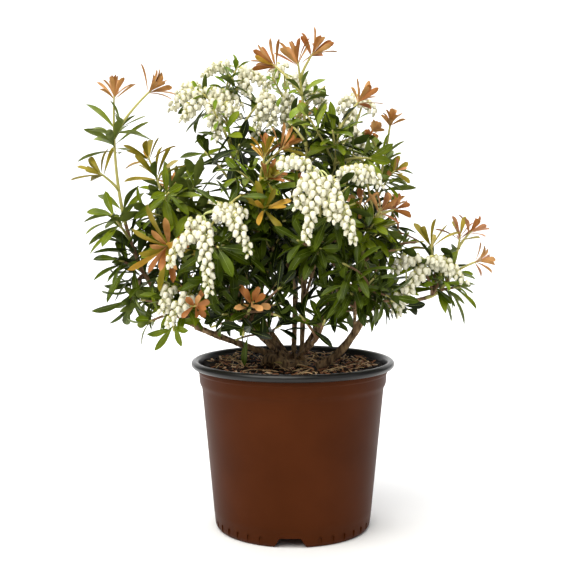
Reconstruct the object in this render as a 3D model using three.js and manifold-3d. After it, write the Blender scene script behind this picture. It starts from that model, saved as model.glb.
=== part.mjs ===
// A pieris shrub in bloom, in a round nursery pot: several woody stems from one root crown,
// leaf whorls on the outer twigs, young copper rosettes and hanging racemes of white bells.
// Millimetres, +Z up. The origin is the centre of the pot's underside; -Y is the front.
import * as THREE from "three";
import { mergeVertices } from "three/addons/utils/BufferGeometryUtils.js";
import Module from "manifold-3d";

const wasm = await Module();
wasm.setup();

// ---------------------------------------------------------------- driving dimensions

const GAP = 0.3; // clearance between solids that meet
const FINEST = 0.12; // smallest detail left where fused pieces cross

const RIM_RADIUS = 115; // outside of the rolled lip
const RIM_TOP = 191.5;
const LIP_THICK = 8.4;
const COLLAR_RADIUS = 107.3; // band under the lip
const COLLAR_STEP = 177; // fine step round the collar
const COLLAR_FOOT = 165.5; // where the collar steps in to the tapered wall
const WALL_TOP_RADIUS = 103.2;
const WALL_FOOT_RADIUS = 88.6;
const FOOT_CHAMFER = [3, 4]; // inwards and upwards
const WALL = 2;
const FLOOR_UNDER = 11.6; // raised floor: the pot stands on its foot ring and a low centre foot
const FOOT_RING = 7.5;
const HUB_RADIUS = 24;
const POT_SIDES = 30;
const NOTCHES = 4;
const NOTCH = { width: 35, taper: 6, height: 11 };
const NOTCH_TURN = -2; // degrees that the notches sit round from the front
const FLUTES_BETWEEN_NOTCHES = 6;
const FLUTE = { pitchDeg: 9.6, width: 4.6, height: 11, depth: 1.4 };

const SOIL_TOP = 183;
const SOIL_EDGE_DIP = 5;
const SOIL_RINGS = 4;

const CROWN = { x: 0, y: 4, flare: 27, neck: 15, height: 17 };
const KNUCKLE = { radius: 8.5, from: [-4, -20, 181], over: [-26, -26, 214], to: [-30, 0, 184] };

const BOUGH_SIDES = 5;
const BOUGH_STEPS = 5;
const SIDE_RADIUS = 1.9; // at a side shoot's foot
const TWIG_RADIUS = 1.5; // at a shoot's tip
const BEND_LENGTH = 40; // a shoot's straight stretches are about this long
const FORK = { angleDeg: 42, highest: 0.86, lowest: 0.1, step: 0.04, outward: 0.65 };
const SWEEP = 0.4; // share of a shoot's length that it runs on straight from its foot
const TWIG = { from: 0.1, along: 0.55, out: [30, 52], up: [10, 30] }; // short green side twigs
const YEAR = 54; // length of stem that one year grows, from whorl to whorl
const FIRST_WHORL = { leaves: 2, bloom: 16 }; // below the tip of a shoot with no young growth
const BUD_HEIGHT = 5; // the short stretch of stem that a whorl's leaves all grow from
const LEAF = { widest: 0.6, thick: 1.5, arch: 0.06, shorter: [1, 0.75, 0.55] };
const RACEME = {
  radius: 8.5, step: 16, sides: 5, rise: 12, spreadDeg: 50,
  bearingsDeg: [-90, 0, 180], reach: [18, 36, 36], drop: [1, 0.5, 0.5],
};

// Leaves by kind: length, width, and how far the lower and the upper ones lean from the stem.
const GREEN = { length: 51, width: 19, low: 80, high: 50, droop: 0.16 };
const YOUNG = {
  copper: { length: 26, width: 11, low: 52, high: 24, droop: 0 },
  olive: { length: 32, width: 11, low: 60, high: 30, droop: 0 },
  large: { length: 42, width: 13, low: 66, high: 34, droop: 0 },
};

// Boughs: [name, parent, where on the parent (0 to 1) or bearing on the crown (degrees),
// tip x, y, z, share of the rise done at mid-length, radius at the root, radius at the tip].
const BOUGHS = [
  ["low_left_stem", "crown", 183, -109, -14, 230, 0.45, 4.6, 3.5],
  ["left_stem", "crown", 140, -72, -8, 274, 0.5, 5, 3.4],
  ["front_left_stem", "crown", 235, -44, -60, 236, 0.4, 4, 3],
  ["front_right_stem", "crown", 290, 24, -64, 222, 0.45, 3.8, 2.8],
  ["right_stem", "crown", 338, 86, -34, 262, 0.08, 6, 4],
  ["centre_stem", "crown", 20, 14, -2, 318, 0.7, 4.6, 3.2],
  ["back_right_stem", "crown", 52, 58, 62, 268, 0.5, 4.8, 3.2],
  ["back_stem", "crown", 85, 4, 74, 276, 0.5, 4.6, 3.2],
  ["back_left_stem", "crown", 118, -62, 62, 270, 0.5, 4.6, 3.2],
  ["far_left_bough", "low_left_stem", 1, -157, -12, 274, 0.4, 3.4, 2.8],
  ["low_left_bough", "low_left_stem", 0.8, -120, -40, 246, 0.5, 2.6, 2.2],
  ["left_mid_bough", "left_stem", 1, -112, -12, 318, 0.5, 3, 2.4],
  ["left_front_bough", "left_stem", 0.7, -70, -56, 288, 0.5, 2.8, 2.2],
  ["upper_left_bough", "left_stem", 0.93, -66, 20, 372, 0.55, 3, 2.4],
  ["inner_left_bough", "left_stem", 0.55, -30, 18, 290, 0.5, 2.6, 2.2],
  ["upper_mid_bough", "centre_stem", 0.6, -26, -36, 322, 0.5, 2.8, 2.2],
  ["top_bough", "centre_stem", 1, 16, -4, 394, 0.5, 3.1, 2.6],
  ["centre_front_bough", "centre_stem", 0.4, 24, -66, 308, 0.45, 2.6, 2.2],
  ["upper_right_bough", "centre_stem", 0.85, 40, -22, 384, 0.5, 2.8, 2.2],
  ["right_mid_bough", "right_stem", 1, 80, -42, 300, 0.5, 3.2, 2.4],
  ["right_centre_bough", "right_stem", 0.75, 66, -66, 258, 0.5, 2.8, 2.2],
  ["far_right_bough", "right_stem", 0.9, 150, -10, 262, 0.45, 3, 2.4],
  ["inner_right_bough", "back_right_stem", 0.55, 50, 14, 288, 0.5, 2.6, 2.2],
  ["right_top_bough", "back_right_stem", 0.85, 86, 18, 350, 0.5, 2.8, 2.2],
  ["right_back_bough", "back_right_stem", 1, 94, 84, 306, 0.5, 2.8, 2.2],
  ["high_right_bough", "back_right_stem", 0.94, 60, 56, 386, 0.6, 2.6, 2.2],
  ["back_low_right_bough", "back_right_stem", 0.6, 84, 84, 240, 0.4, 2.4, 2],
  ["back_mid_bough", "back_stem", 1, 4, 96, 308, 0.5, 2.8, 2.2],
  ["high_back_bough", "back_stem", 0.9, 0, 52, 386, 0.6, 2.8, 2.2],
  ["left_back_bough", "back_left_stem", 1, -100, 84, 306, 0.5, 2.8, 2.2],
  ["back_low_left_bough", "back_left_stem", 0.6, -84, 84, 240, 0.4, 2.4, 2],
];

// Sprays, one mass of foliage on each bough's tip. A shoot is [tip x, y, z, what it ends in, then
// a young tip's stalk, or a bloom's drop and number of racemes]; the first is the spray's leader.
// `twigs` more short green ones grow by the seeded rule.
const SPRAYS = {
  far_left_spray: {
    bough: "far_left_bough", seed: 11, twigs: 0,
    shoots: [
      [-198, -6, 490, "copper", 50], [-156, -4, 494, "copper", 58], [-216, -10, 402, "olive", 24],
      [-182, -26, 250, "leaves"], [-176, 14, 262, "leaves"],
      [-200, -26, 356, "leaves"], [-192, -34, 306, "leaves"],
    ],
  },
  low_left_spray: {
    bough: "low_left_bough", seed: 12, twigs: 3,
    shoots: [
      [-146, -60, 286, "bloom", 34, 1], [-112, -78, 284, "bloom", 34, 1], [-100, -100, 262, "copper", 16],
      [-160, -56, 238, "leaves"], [-126, -86, 234, "leaves"],
    ],
  },
  left_mid_spray: {
    bough: "left_mid_bough", seed: 13, twigs: 2,
    shoots: [
      [-152, -8, 400, "olive", 26], [-108, 6, 396, "leaves"], [-134, -66, 322, "large", 18],
      [-168, -14, 360, "leaves"],
    ],
  },
  left_front_spray: {
    bough: "left_front_bough", seed: 14, twigs: 3,
    shoots: [
      [-92, -98, 354, "bloom", 76, 3], [-52, -92, 330, "leaves"], [-98, -88, 300, "leaves"],
    ],
  },
  upper_left_spray: {
    bough: "upper_left_bough", seed: 15, twigs: 2,
    shoots: [
      [-84, 38, 500, "bloom", 48, 3], [-124, 44, 494, "bloom", 28, 1], [-54, 56, 518, "bloom", 32, 2],
      [-34, 34, 488, "bloom", 46, 1], [-100, 14, 426, "leaves"],
    ],
  },
  inner_left_spray: {
    bough: "inner_left_bough", seed: 33, twigs: 3,
    shoots: [
      [-44, 20, 352, "leaves"], [-66, 22, 322, "leaves"], [-18, 24, 330, "leaves"],
      [-52, -22, 308, "leaves"],
    ],
  },
  upper_mid_spray: {
    bough: "upper_mid_bough", seed: 16, twigs: 2,
    shoots: [
      [-29, -62, 422, "copper", 24], [-9, -64, 428, "copper", 28], [-29, -88, 364, "large", 18],
      [-58, -40, 392, "leaves"], [-26, -74, 396, "copper", 16],
      [-58, -70, 344, "leaves"],
    ],
  },
  top_spray: {
    bough: "top_bough", seed: 17, twigs: 2,
    shoots: [
      [5, -6, 526, "copper", 26], [24, 0, 536, "copper", 60], [-24, 4, 523, "copper", 48],
      [30, -24, 448, "leaves"],
    ],
  },
  high_back_spray: {
    bough: "high_back_bough", seed: 18, twigs: 2,
    shoots: [
      [-10, 64, 516, "bloom", 36, 2], [38, 58, 504, "bloom", 40, 1], [10, 106, 474, "copper", 30],
    ],
  },
  upper_right_spray: {
    bough: "upper_right_bough", seed: 19, twigs: 2,
    shoots: [
      [50, -24, 458, "leaves"], [75, -14, 482, "copper", 40],
    ],
  },
  high_right_spray: {
    bough: "high_right_bough", seed: 20, twigs: 2,
    shoots: [
      [82, 54, 484, "bloom", 30, 2], [62, 58, 466, "bloom", 36, 1], [98, 88, 456, "copper", 30],
    ],
  },
  right_top_spray: {
    bough: "right_top_bough", seed: 21, twigs: 2,
    shoots: [
      [109, -2, 460, "copper", 42], [84, -4, 444, "copper", 20], [114, -14, 404, "copper", 12],
      [110, 34, 396, "leaves"],
    ],
  },
  centre_front_spray: {
    bough: "centre_front_bough", seed: 22, twigs: 2,
    shoots: [
      [26, -120, 396, "bloom", 70, 3], [42, -112, 396, "bloom", 72, 1], [28, -106, 322, "leaves"],
      [4, -96, 330, "leaves"],
    ],
  },
  right_mid_spray: {
    bough: "right_mid_bough", seed: 23, twigs: 2,
    shoots: [
      [96, -60, 364, "copper", 26], [70, -64, 368, "copper", 20], [112, -56, 362, "copper", 30],
      [72, -78, 404, "bloom", 22, 2], [120, -50, 318, "leaves"],
    ],
  },
  right_centre_spray: {
    bough: "right_centre_bough", seed: 24, twigs: 2,
    shoots: [
      [84, -92, 290, "leaves"], [58, -108, 276, "leaves"], [112, -74, 264, "leaves"],
    ],
  },
  inner_right_spray: {
    bough: "inner_right_bough", seed: 34, twigs: 3,
    shoots: [
      [56, 6, 348, "leaves"], [28, 18, 334, "leaves"], [88, 14, 318, "leaves"],
    ],
  },
  centre_low_spray: {
    bough: "front_left_stem", seed: 25, twigs: 3,
    shoots: [
      [-41, -102, 266, "copper", 18], [-64, -84, 286, "leaves"], [-10, -100, 284, "leaves"],
      [-52, -108, 232, "leaves"],
    ],
  },
  front_right_spray: {
    bough: "front_right_stem", seed: 26, twigs: 1,
    shoots: [
      [33, -94, 247, "leaves"], [6, -92, 252, "leaves"],
    ],
  },
  far_right_spray: {
    bough: "far_right_bough", seed: 27, twigs: 0,
    shoots: [
      [188, -4, 334, "copper", 16], [202, -2, 338, "copper", 30], [210, -8, 304, "copper", 34],
      [155, 2, 322, "olive", 16], [132, -26, 308, "bloom", 42, 3], [166, -20, 304, "bloom", 26, 2],
      [188, -12, 274, "leaves"],
    ],
  },
  right_back_spray: {
    bough: "right_back_bough", seed: 28, twigs: 1,
    shoots: [
      [124, 94, 368, "copper", 36], [110, 136, 362, "bloom", 44, 2], [156, 66, 322, "leaves"],
    ],
  },
  back_low_right_spray: {
    bough: "back_low_right_bough", seed: 29, twigs: 1,
    shoots: [
      [128, 112, 266, "leaves"], [84, 146, 266, "copper", 30],
    ],
  },
  back_mid_spray: {
    bough: "back_mid_bough", seed: 30, twigs: 1,
    shoots: [
      [6, 148, 392, "copper", 36], [-36, 146, 356, "bloom", 46, 2], [46, 150, 336, "leaves"],
      [0, 156, 282, "leaves"],
    ],
  },
  left_back_spray: {
    bough: "left_back_bough", seed: 31, twigs: 1,
    shoots: [
      [-144, 94, 388, "copper", 36], [-110, 136, 364, "bloom", 44, 2], [-164, 70, 334, "leaves"],
    ],
  },
  back_low_left_spray: {
    bough: "back_low_left_bough", seed: 32, twigs: 1,
    shoots: [
      [-134, 104, 264, "copper", 30], [-88, 144, 266, "leaves"],
    ],
  },
};

const COLOURS = {
  pot: ["#5a3020", 0.55],
  soil: ["#3a281a", 0.95],
  bark: ["#5c4531", 0.9],
  foliage: ["#3d5a25", 0.6],
};

// ---------------------------------------------------------------- small tools

const UP = new THREE.Vector3(0, 0, 1);
const vector = (xyz) => new THREE.Vector3(...xyz);
const radians = THREE.MathUtils.degToRad;
const { lerp } = THREE.MathUtils;

// The same run of numbers from the same seed, each from 0 to 1.
function seeded(seed) {
  let state = seed * 7919;
  return () => {
    state = (Math.imul(state, 1664525) + 1013904223) >>> 0;
    return (state >>> 8) / 2 ** 24;
  };
}

function solid(geometry) {
  const bare = geometry.clone();
  bare.deleteAttribute("normal");
  bare.deleteAttribute("uv");
  const merged = mergeVertices(bare, 1e-4);
  return new wasm.Manifold(new wasm.Mesh({
    numProp: 3,
    vertProperties: merged.attributes.position.array,
    triVerts: new Uint32Array(merged.index.array),
  }));
}

// The largest body alone, without the slivers and closed hollows that cutting and fusing leave.
function mainBody(made) {
  const bodies = made.simplify(FINEST).decompose();
  return bodies.reduce((p, q) => (p.volume() > q.volume() ? p : q));
}

// A mesh whose own origin is at `foot`, the place where the piece stands or grows from.
function meshOf(name, made, foot, [color, roughness]) {
  const { vertProperties, triVerts } = made.getMesh();
  const geometry = new THREE.BufferGeometry();
  geometry.setAttribute("position", new THREE.BufferAttribute(new Float32Array(vertProperties), 3));
  geometry.setIndex(new THREE.BufferAttribute(new Uint32Array(triVerts), 1));
  geometry.translate(-foot.x, -foot.y, -foot.z);
  geometry.computeVertexNormals();
  const material = new THREE.MeshStandardMaterial({ color, roughness, metalness: 0 });
  const mesh = new THREE.Mesh(geometry, material);
  mesh.name = name;
  mesh.position.copy(foot);
  return mesh;
}

// A cylinder whose rings are set along a curve, with a radius for each place on it.
function tube(curve, radiusAt, sides, steps) {
  const geometry = new THREE.CylinderGeometry(1, 1, 1, sides, steps);
  const { normals, binormals } = curve.computeFrenetFrames(steps);
  const position = geometry.attributes.position;
  for (let i = 0; i < position.count; i++) {
    const ring = Math.round((0.5 - position.getY(i)) * steps);
    const reach = radiusAt(ring / steps);
    const point = curve.getPoint(ring / steps)
      .addScaledVector(normals[ring], reach * position.getX(i))
      .addScaledVector(binormals[ring], reach * position.getZ(i));
    position.setXYZ(i, point.x, point.y, point.z);
  }
  return geometry;
}

const curveOf = (from, through, to) => new THREE.QuadraticBezierCurve3(from, through, to);

// ---------------------------------------------------------------- pot and soil

function wallRadius(z) {
  const share = (z - FOOT_CHAMFER[1]) / (COLLAR_FOOT - 4 - FOOT_CHAMFER[1]);
  return lerp(WALL_FOOT_RADIUS, WALL_TOP_RADIUS, share);
}

function lathe(profile, sides) {
  const points = profile.map(([r, z]) => new THREE.Vector2(r, z));
  return new THREE.LatheGeometry(points, sides).rotateX(Math.PI / 2);
}

// The rolled lip's section, from under its outer edge over the top to the inner wall.
function lipProfile() {
  const half = LIP_THICK / 2;
  const corners = 6;
  return Array.from({ length: corners }, (_, i) => {
    const angle = radians(-100 + (i * 260) / (corners - 1));
    return [RIM_RADIUS - half + half * Math.cos(angle), RIM_TOP - half + half * Math.sin(angle)];
  });
}

function potShell() {
  const floorTop = FLOOR_UNDER + WALL;
  const footRadius = WALL_FOOT_RADIUS - FOOT_CHAMFER[0];
  return solid(lathe([
    [0, 0], [HUB_RADIUS - 2, 0], [HUB_RADIUS, FLOOR_UNDER],
    [footRadius - FOOT_RING - 1, FLOOR_UNDER], [footRadius - FOOT_RING, 0],
    [footRadius, 0], [WALL_FOOT_RADIUS, FOOT_CHAMFER[1]],
    [WALL_TOP_RADIUS, COLLAR_FOOT - 4], [COLLAR_RADIUS - 1.6, COLLAR_FOOT],
    [COLLAR_RADIUS - 0.9, COLLAR_STEP], [COLLAR_RADIUS, COLLAR_STEP + 1],
    [COLLAR_RADIUS, RIM_TOP - LIP_THICK],
    ...lipProfile(),
    [COLLAR_RADIUS - WALL, RIM_TOP - LIP_THICK],
    [COLLAR_RADIUS - WALL - 1.6, COLLAR_FOOT - 1], [WALL_TOP_RADIUS - WALL, COLLAR_FOOT - 5],
    [wallRadius(floorTop) - WALL, floorTop], [0, floorTop],
  ], POT_SIDES));
}

// A drain notch: a block with sloping ends, cut through the foot ring at its bearing.
function notchCutter(bearing) {
  const { width, taper, height } = NOTCH;
  const outline = new THREE.Shape([
    new THREE.Vector2(-width / 2, -1), new THREE.Vector2(width / 2, -1),
    new THREE.Vector2(width / 2 - taper, height), new THREE.Vector2(taper - width / 2, height),
  ]);
  return solid(new THREE.ExtrudeGeometry(outline, { depth: 30, bevelEnabled: false })
    .rotateX(Math.PI / 2).translate(0, -WALL_FOOT_RADIUS + 25, 0).rotateZ(bearing));
}

function fluteCutter(bearing) {
  const { width, height, depth } = FLUTE;
  return solid(new THREE.BoxGeometry(width, 8, height + 2)
    .translate(0, -WALL_FOOT_RADIUS - 4 + depth + 0.6, height / 2 - 1).rotateZ(bearing));
}

function pot() {
  const cutters = [];
  for (let n = 0; n < NOTCHES; n++) {
    const quarter = (n * 2 * Math.PI) / NOTCHES + radians(NOTCH_TURN);
    cutters.push(notchCutter(quarter));
    for (let f = 0; f < FLUTES_BETWEEN_NOTCHES; f++) {
      const turn = 180 / NOTCHES + (f - (FLUTES_BETWEEN_NOTCHES - 1) / 2) * FLUTE.pitchDeg;
      cutters.push(fluteCutter(quarter + radians(turn)));
    }
  }
  return potShell().subtract(wasm.Manifold.union(cutters));
}

// The potting mix fills the pot; its top dips unevenly towards the wall and is flat at the crown.
function soil() {
  const floorTop = FLOOR_UNDER + WALL + GAP;
  const edge = COLLAR_FOOT - 7;
  const inside = (z) => wallRadius(z) - WALL - GAP;
  const flat = CROWN.flare + 8;
  const profile = [[0, floorTop], [inside(floorTop), floorTop], [inside(edge), edge]];
  for (let i = 0; i <= SOIL_RINGS; i++) {
    const share = i / SOIL_RINGS;
    profile.push([lerp(inside(edge) + 1, flat, share), SOIL_TOP]);
  }
  profile.push([0, SOIL_TOP]);
  const geometry = lathe(profile, POT_SIDES);
  const position = geometry.attributes.position;
  for (let i = 0; i < position.count; i++) {
    const [x, y, z] = [position.getX(i), position.getY(i), position.getZ(i)];
    const reach = Math.hypot(x, y);
    if (z < SOIL_TOP - 1 || reach < flat + 1) continue;
    const out = (reach - flat) / (inside(edge) - flat);
    const lumps = 1.6 * Math.sin(x * 0.11 + y * 0.05) * Math.cos(y * 0.13 - x * 0.04);
    const dip = SOIL_EDGE_DIP * out * (1 - (0.5 * x + 0.4 * y) / inside(edge));
    position.setZ(i, SOIL_TOP + lumps * Math.min(1, 3 * out) * (1 - 0.3 * out) - dip);
  }
  return solid(geometry);
}

// ---------------------------------------------------------------- root crown and boughs

// The swollen foot of the plant: a flared, lobed base cut flat on the soil, with one knuckled root.
function rootCrown(grow = 0) {
  const { x, y, flare, neck, height } = CROWN;
  const base = SOIL_TOP + GAP;
  const geometry = lathe([
    [0, base - 6], [flare + 3, base - 6], [flare, base], [flare * 0.8, base + 4],
    [neck + 2, base + 9], [neck, base + height - 2], [neck * 0.6, base + height], [0, base + height + 1],
  ].map(([r, z]) => [r ? r + grow : 0, z + (z > base ? grow : 0)]), 14);
  const position = geometry.attributes.position;
  for (let i = 0; i < position.count; i++) {
    const bearing = Math.atan2(position.getY(i), position.getX(i));
    const lobe = 1 + 0.13 * Math.cos(3 * bearing + 1) + 0.07 * Math.cos(5 * bearing);
    position.setX(i, position.getX(i) * lobe + x);
    position.setY(i, position.getY(i) * lobe + y);
  }
  const { radius, from, over, to } = KNUCKLE;
  const arch = curveOf(vector(from), vector(over), vector(to));
  const knuckle = solid(tube(arch, (t) => radius + grow + 1.2 * Math.sin(t * 9), 8, 7));
  const below = new THREE.BoxGeometry(300, 300, 60).translate(0, 0, base - 30);
  return solid(geometry).add(knuckle).subtract(solid(below));
}

function crownPoint(bearing) {
  const inside = CROWN.neck * 0.72;
  const angle = radians(bearing);
  return new THREE.Vector3(
    CROWN.x + inside * Math.cos(angle), CROWN.y + inside * Math.sin(angle), SOIL_TOP + CROWN.height * 0.55,
  );
}

// Every bough's curve: it leaves its parent, runs outwards and turns up to its tip.
function boughCurves() {
  const curves = {};
  for (const [name, parent, where, x, y, z, rise, rootRadius, tipRadius] of BOUGHS) {
    const from = parent === "crown" ? crownPoint(where) : curves[parent].curve.getPoint(where);
    const tip = new THREE.Vector3(x, y, z);
    const through = from.clone().lerp(tip, 0.55);
    through.z = lerp(from.z, tip.z, rise);
    if (parent !== "crown" && where === 1) {
      const onwards = curves[parent].curve.getTangent(1);
      from.addScaledVector(onwards, GAP);
      through.copy(from).addScaledVector(onwards, from.distanceTo(tip) * 0.45);
    }
    const radiusAt = (t) => lerp(rootRadius, tipRadius, t);
    curves[name] = { curve: curveOf(from, through, tip), radiusAt };
  }
  return curves;
}

// The boughs as solids, each cut clear of the crown and of the boughs made before it.
function boughSolids(curves) {
  const grown = [rootCrown(GAP)];
  return Object.entries(curves).map(([name, { curve, radiusAt }]) => {
    const whole = solid(tube(curve, radiusAt, BOUGH_SIDES, BOUGH_STEPS));
    const cut = whole.subtract(wasm.Manifold.union(grown));
    grown.push(solid(tube(curve, (t) => radiusAt(t) + GAP, BOUGH_SIDES, BOUGH_STEPS)));
    return { name, made: mainBody(cut), foot: curve.getPoint(0) };
  });
}

// ---------------------------------------------------------------- shoots

// A direction square to `along`, at a bearing round it.
function sideways(along, bearing) {
  const steep = Math.abs(along.z) > 0.9;
  const across = new THREE.Vector3().crossVectors(along, steep ? new THREE.Vector3(1, 0, 0) : UP);
  return across.normalize().applyAxisAngle(along, bearing);
}

// How far up its leader a side shoot leaves, so that it stands off at about the fork's angle.
function forkPlace(leader, tip) {
  for (let t = FORK.highest; t > FORK.lowest; t -= FORK.step) {
    const apart = leader.getTangent(t).angleTo(tip.clone().sub(leader.getPoint(t)));
    if (apart < radians(FORK.angleDeg)) return t;
  }
  return FORK.lowest;
}

// The direction in which a side shoot leaves its leader, part way between the leader's and its own.
function leaving(leader, t, tip) {
  const own = tip.clone().sub(leader.getPoint(t)).normalize();
  return leader.getTangent(t).lerp(own, FORK.outward).normalize();
}

function shootFrom(from, onwards, tip, rootRadius, [ends, size, count]) {
  const span = from.distanceTo(tip);
  const curve = curveOf(from, from.clone().addScaledVector(onwards, span * SWEEP), tip);
  return { curve, span, ends, size, count, rootRadius, forks: [] };
}

// The spray's skeleton: its leader, with the side shoots that fork from it and short green twigs
// by the seeded rule.
function skeleton(spray, bough) {
  const random = seeded(spray.seed);
  const onwards = bough.curve.getTangent(1);
  const foot = bough.curve.getPoint(1).addScaledVector(onwards, GAP);
  const [[x, y, z, ...ends], ...others] = spray.shoots;
  const leader = shootFrom(foot, onwards, new THREE.Vector3(x, y, z), bough.radiusAt(1), ends);
  const fork = (t, tip, sideEnds) => {
    const from = leader.curve.getPoint(t);
    const side = shootFrom(from, leaving(leader.curve, t, tip), tip, SIDE_RADIUS, sideEnds);
    leader.forks.push({ t, side });
  };
  for (const [tipX, tipY, tipZ, ...sideEnds] of others) {
    const tip = new THREE.Vector3(tipX, tipY, tipZ);
    fork(forkPlace(leader.curve, tip), tip, sideEnds);
  }
  for (let i = 0; i < spray.twigs; i++) {
    const t = TWIG.from + TWIG.along * random();
    const out = sideways(leader.curve.getTangent(t), random() * 2 * Math.PI);
    const tip = leader.curve.getPoint(t)
      .addScaledVector(out, lerp(...TWIG.out, random()))
      .addScaledVector(UP, lerp(...TWIG.up, random()));
    fork(t, tip, ["leaves"]);
  }
  return leader;
}

const shootsOf = (leader) => [leader, ...leader.forks.map(({ side }) => side)];
const stemPlaces = ({ curve, span }) => curve.getPoints(Math.ceil(span / 4));

// A leaf's outer corners: its two sides and its midrib where it is widest, then its tip. The
// midrib is a ridge above the blade, or a keel below it.
function blade(root, along, facing, length, width, keeled) {
  const across = new THREE.Vector3().crossVectors(along, facing).normalize();
  const up = new THREE.Vector3().crossVectors(across, along);
  const corner = (reach, side, rise) => root.clone().addScaledVector(along, reach * length)
    .addScaledVector(across, side * width).addScaledVector(up, rise);
  const low = LEAF.arch * length;
  const high = low + LEAF.thick;
  const [sides, rib] = keeled ? [high, low] : [low, high];
  return [
    corner(LEAF.widest, -0.5, sides), corner(LEAF.widest, 0.5, sides),
    corner(LEAF.widest, 0, rib), corner(1, 0, 0),
  ];
}

// The buds of a shoot: short stretches, from its tip down, that its whorls and side shoots grow
// out of. Each keeps clear of the one above.
function budsOf(shoot) {
  const young = YOUNG[shoot.ends];
  const wanted = shoot.forks.map(({ t, side }) => ({ t, side }));
  const whorl = (down, leaves) => wanted.push({ t: 1 - (down + BUD_HEIGHT) / shoot.span, leaves });
  if (young) whorl(1, young);
  const first = young ? shoot.size : FIRST_WHORL[shoot.ends];
  for (let down = first; down < shoot.span - 9; down += YEAR) whorl(down, GREEN);
  const height = BUD_HEIGHT / shoot.span;
  let free = 1;
  return wanted.sort((p, q) => q.t - p.t).map((bud) => {
    const t = Math.min(bud.t, free - height);
    free = t - 0.2 * height;
    return { ...bud, t, top: t + height };
  }).filter(({ t }) => t > 0);
}

// The places along a shoot where its section is set: its foot, its bends, the foot and the top of
// each bud, and its tip.
function stationsOf(shoot) {
  const buds = budsOf(shoot);
  const bends = Math.max(2, Math.round(shoot.span / BEND_LENGTH));
  const near = (BUD_HEIGHT + 2) / shoot.span;
  const inner = Array.from({ length: bends - 1 }, (_, i) => (i + 1) / bends)
    .filter((t) => buds.every((bud) => t < bud.t - near || t > bud.top + near));
  const tops = buds.map(({ top }) => ({ t: top }));
  const marks = [{ t: 0 }, ...buds, ...tops, ...inner.map((t) => ({ t }))];
  if (!buds.length || buds[0].top < 1) marks.push({ t: 1 });
  return marks.sort((p, q) => p.t - q.t);
}

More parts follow.
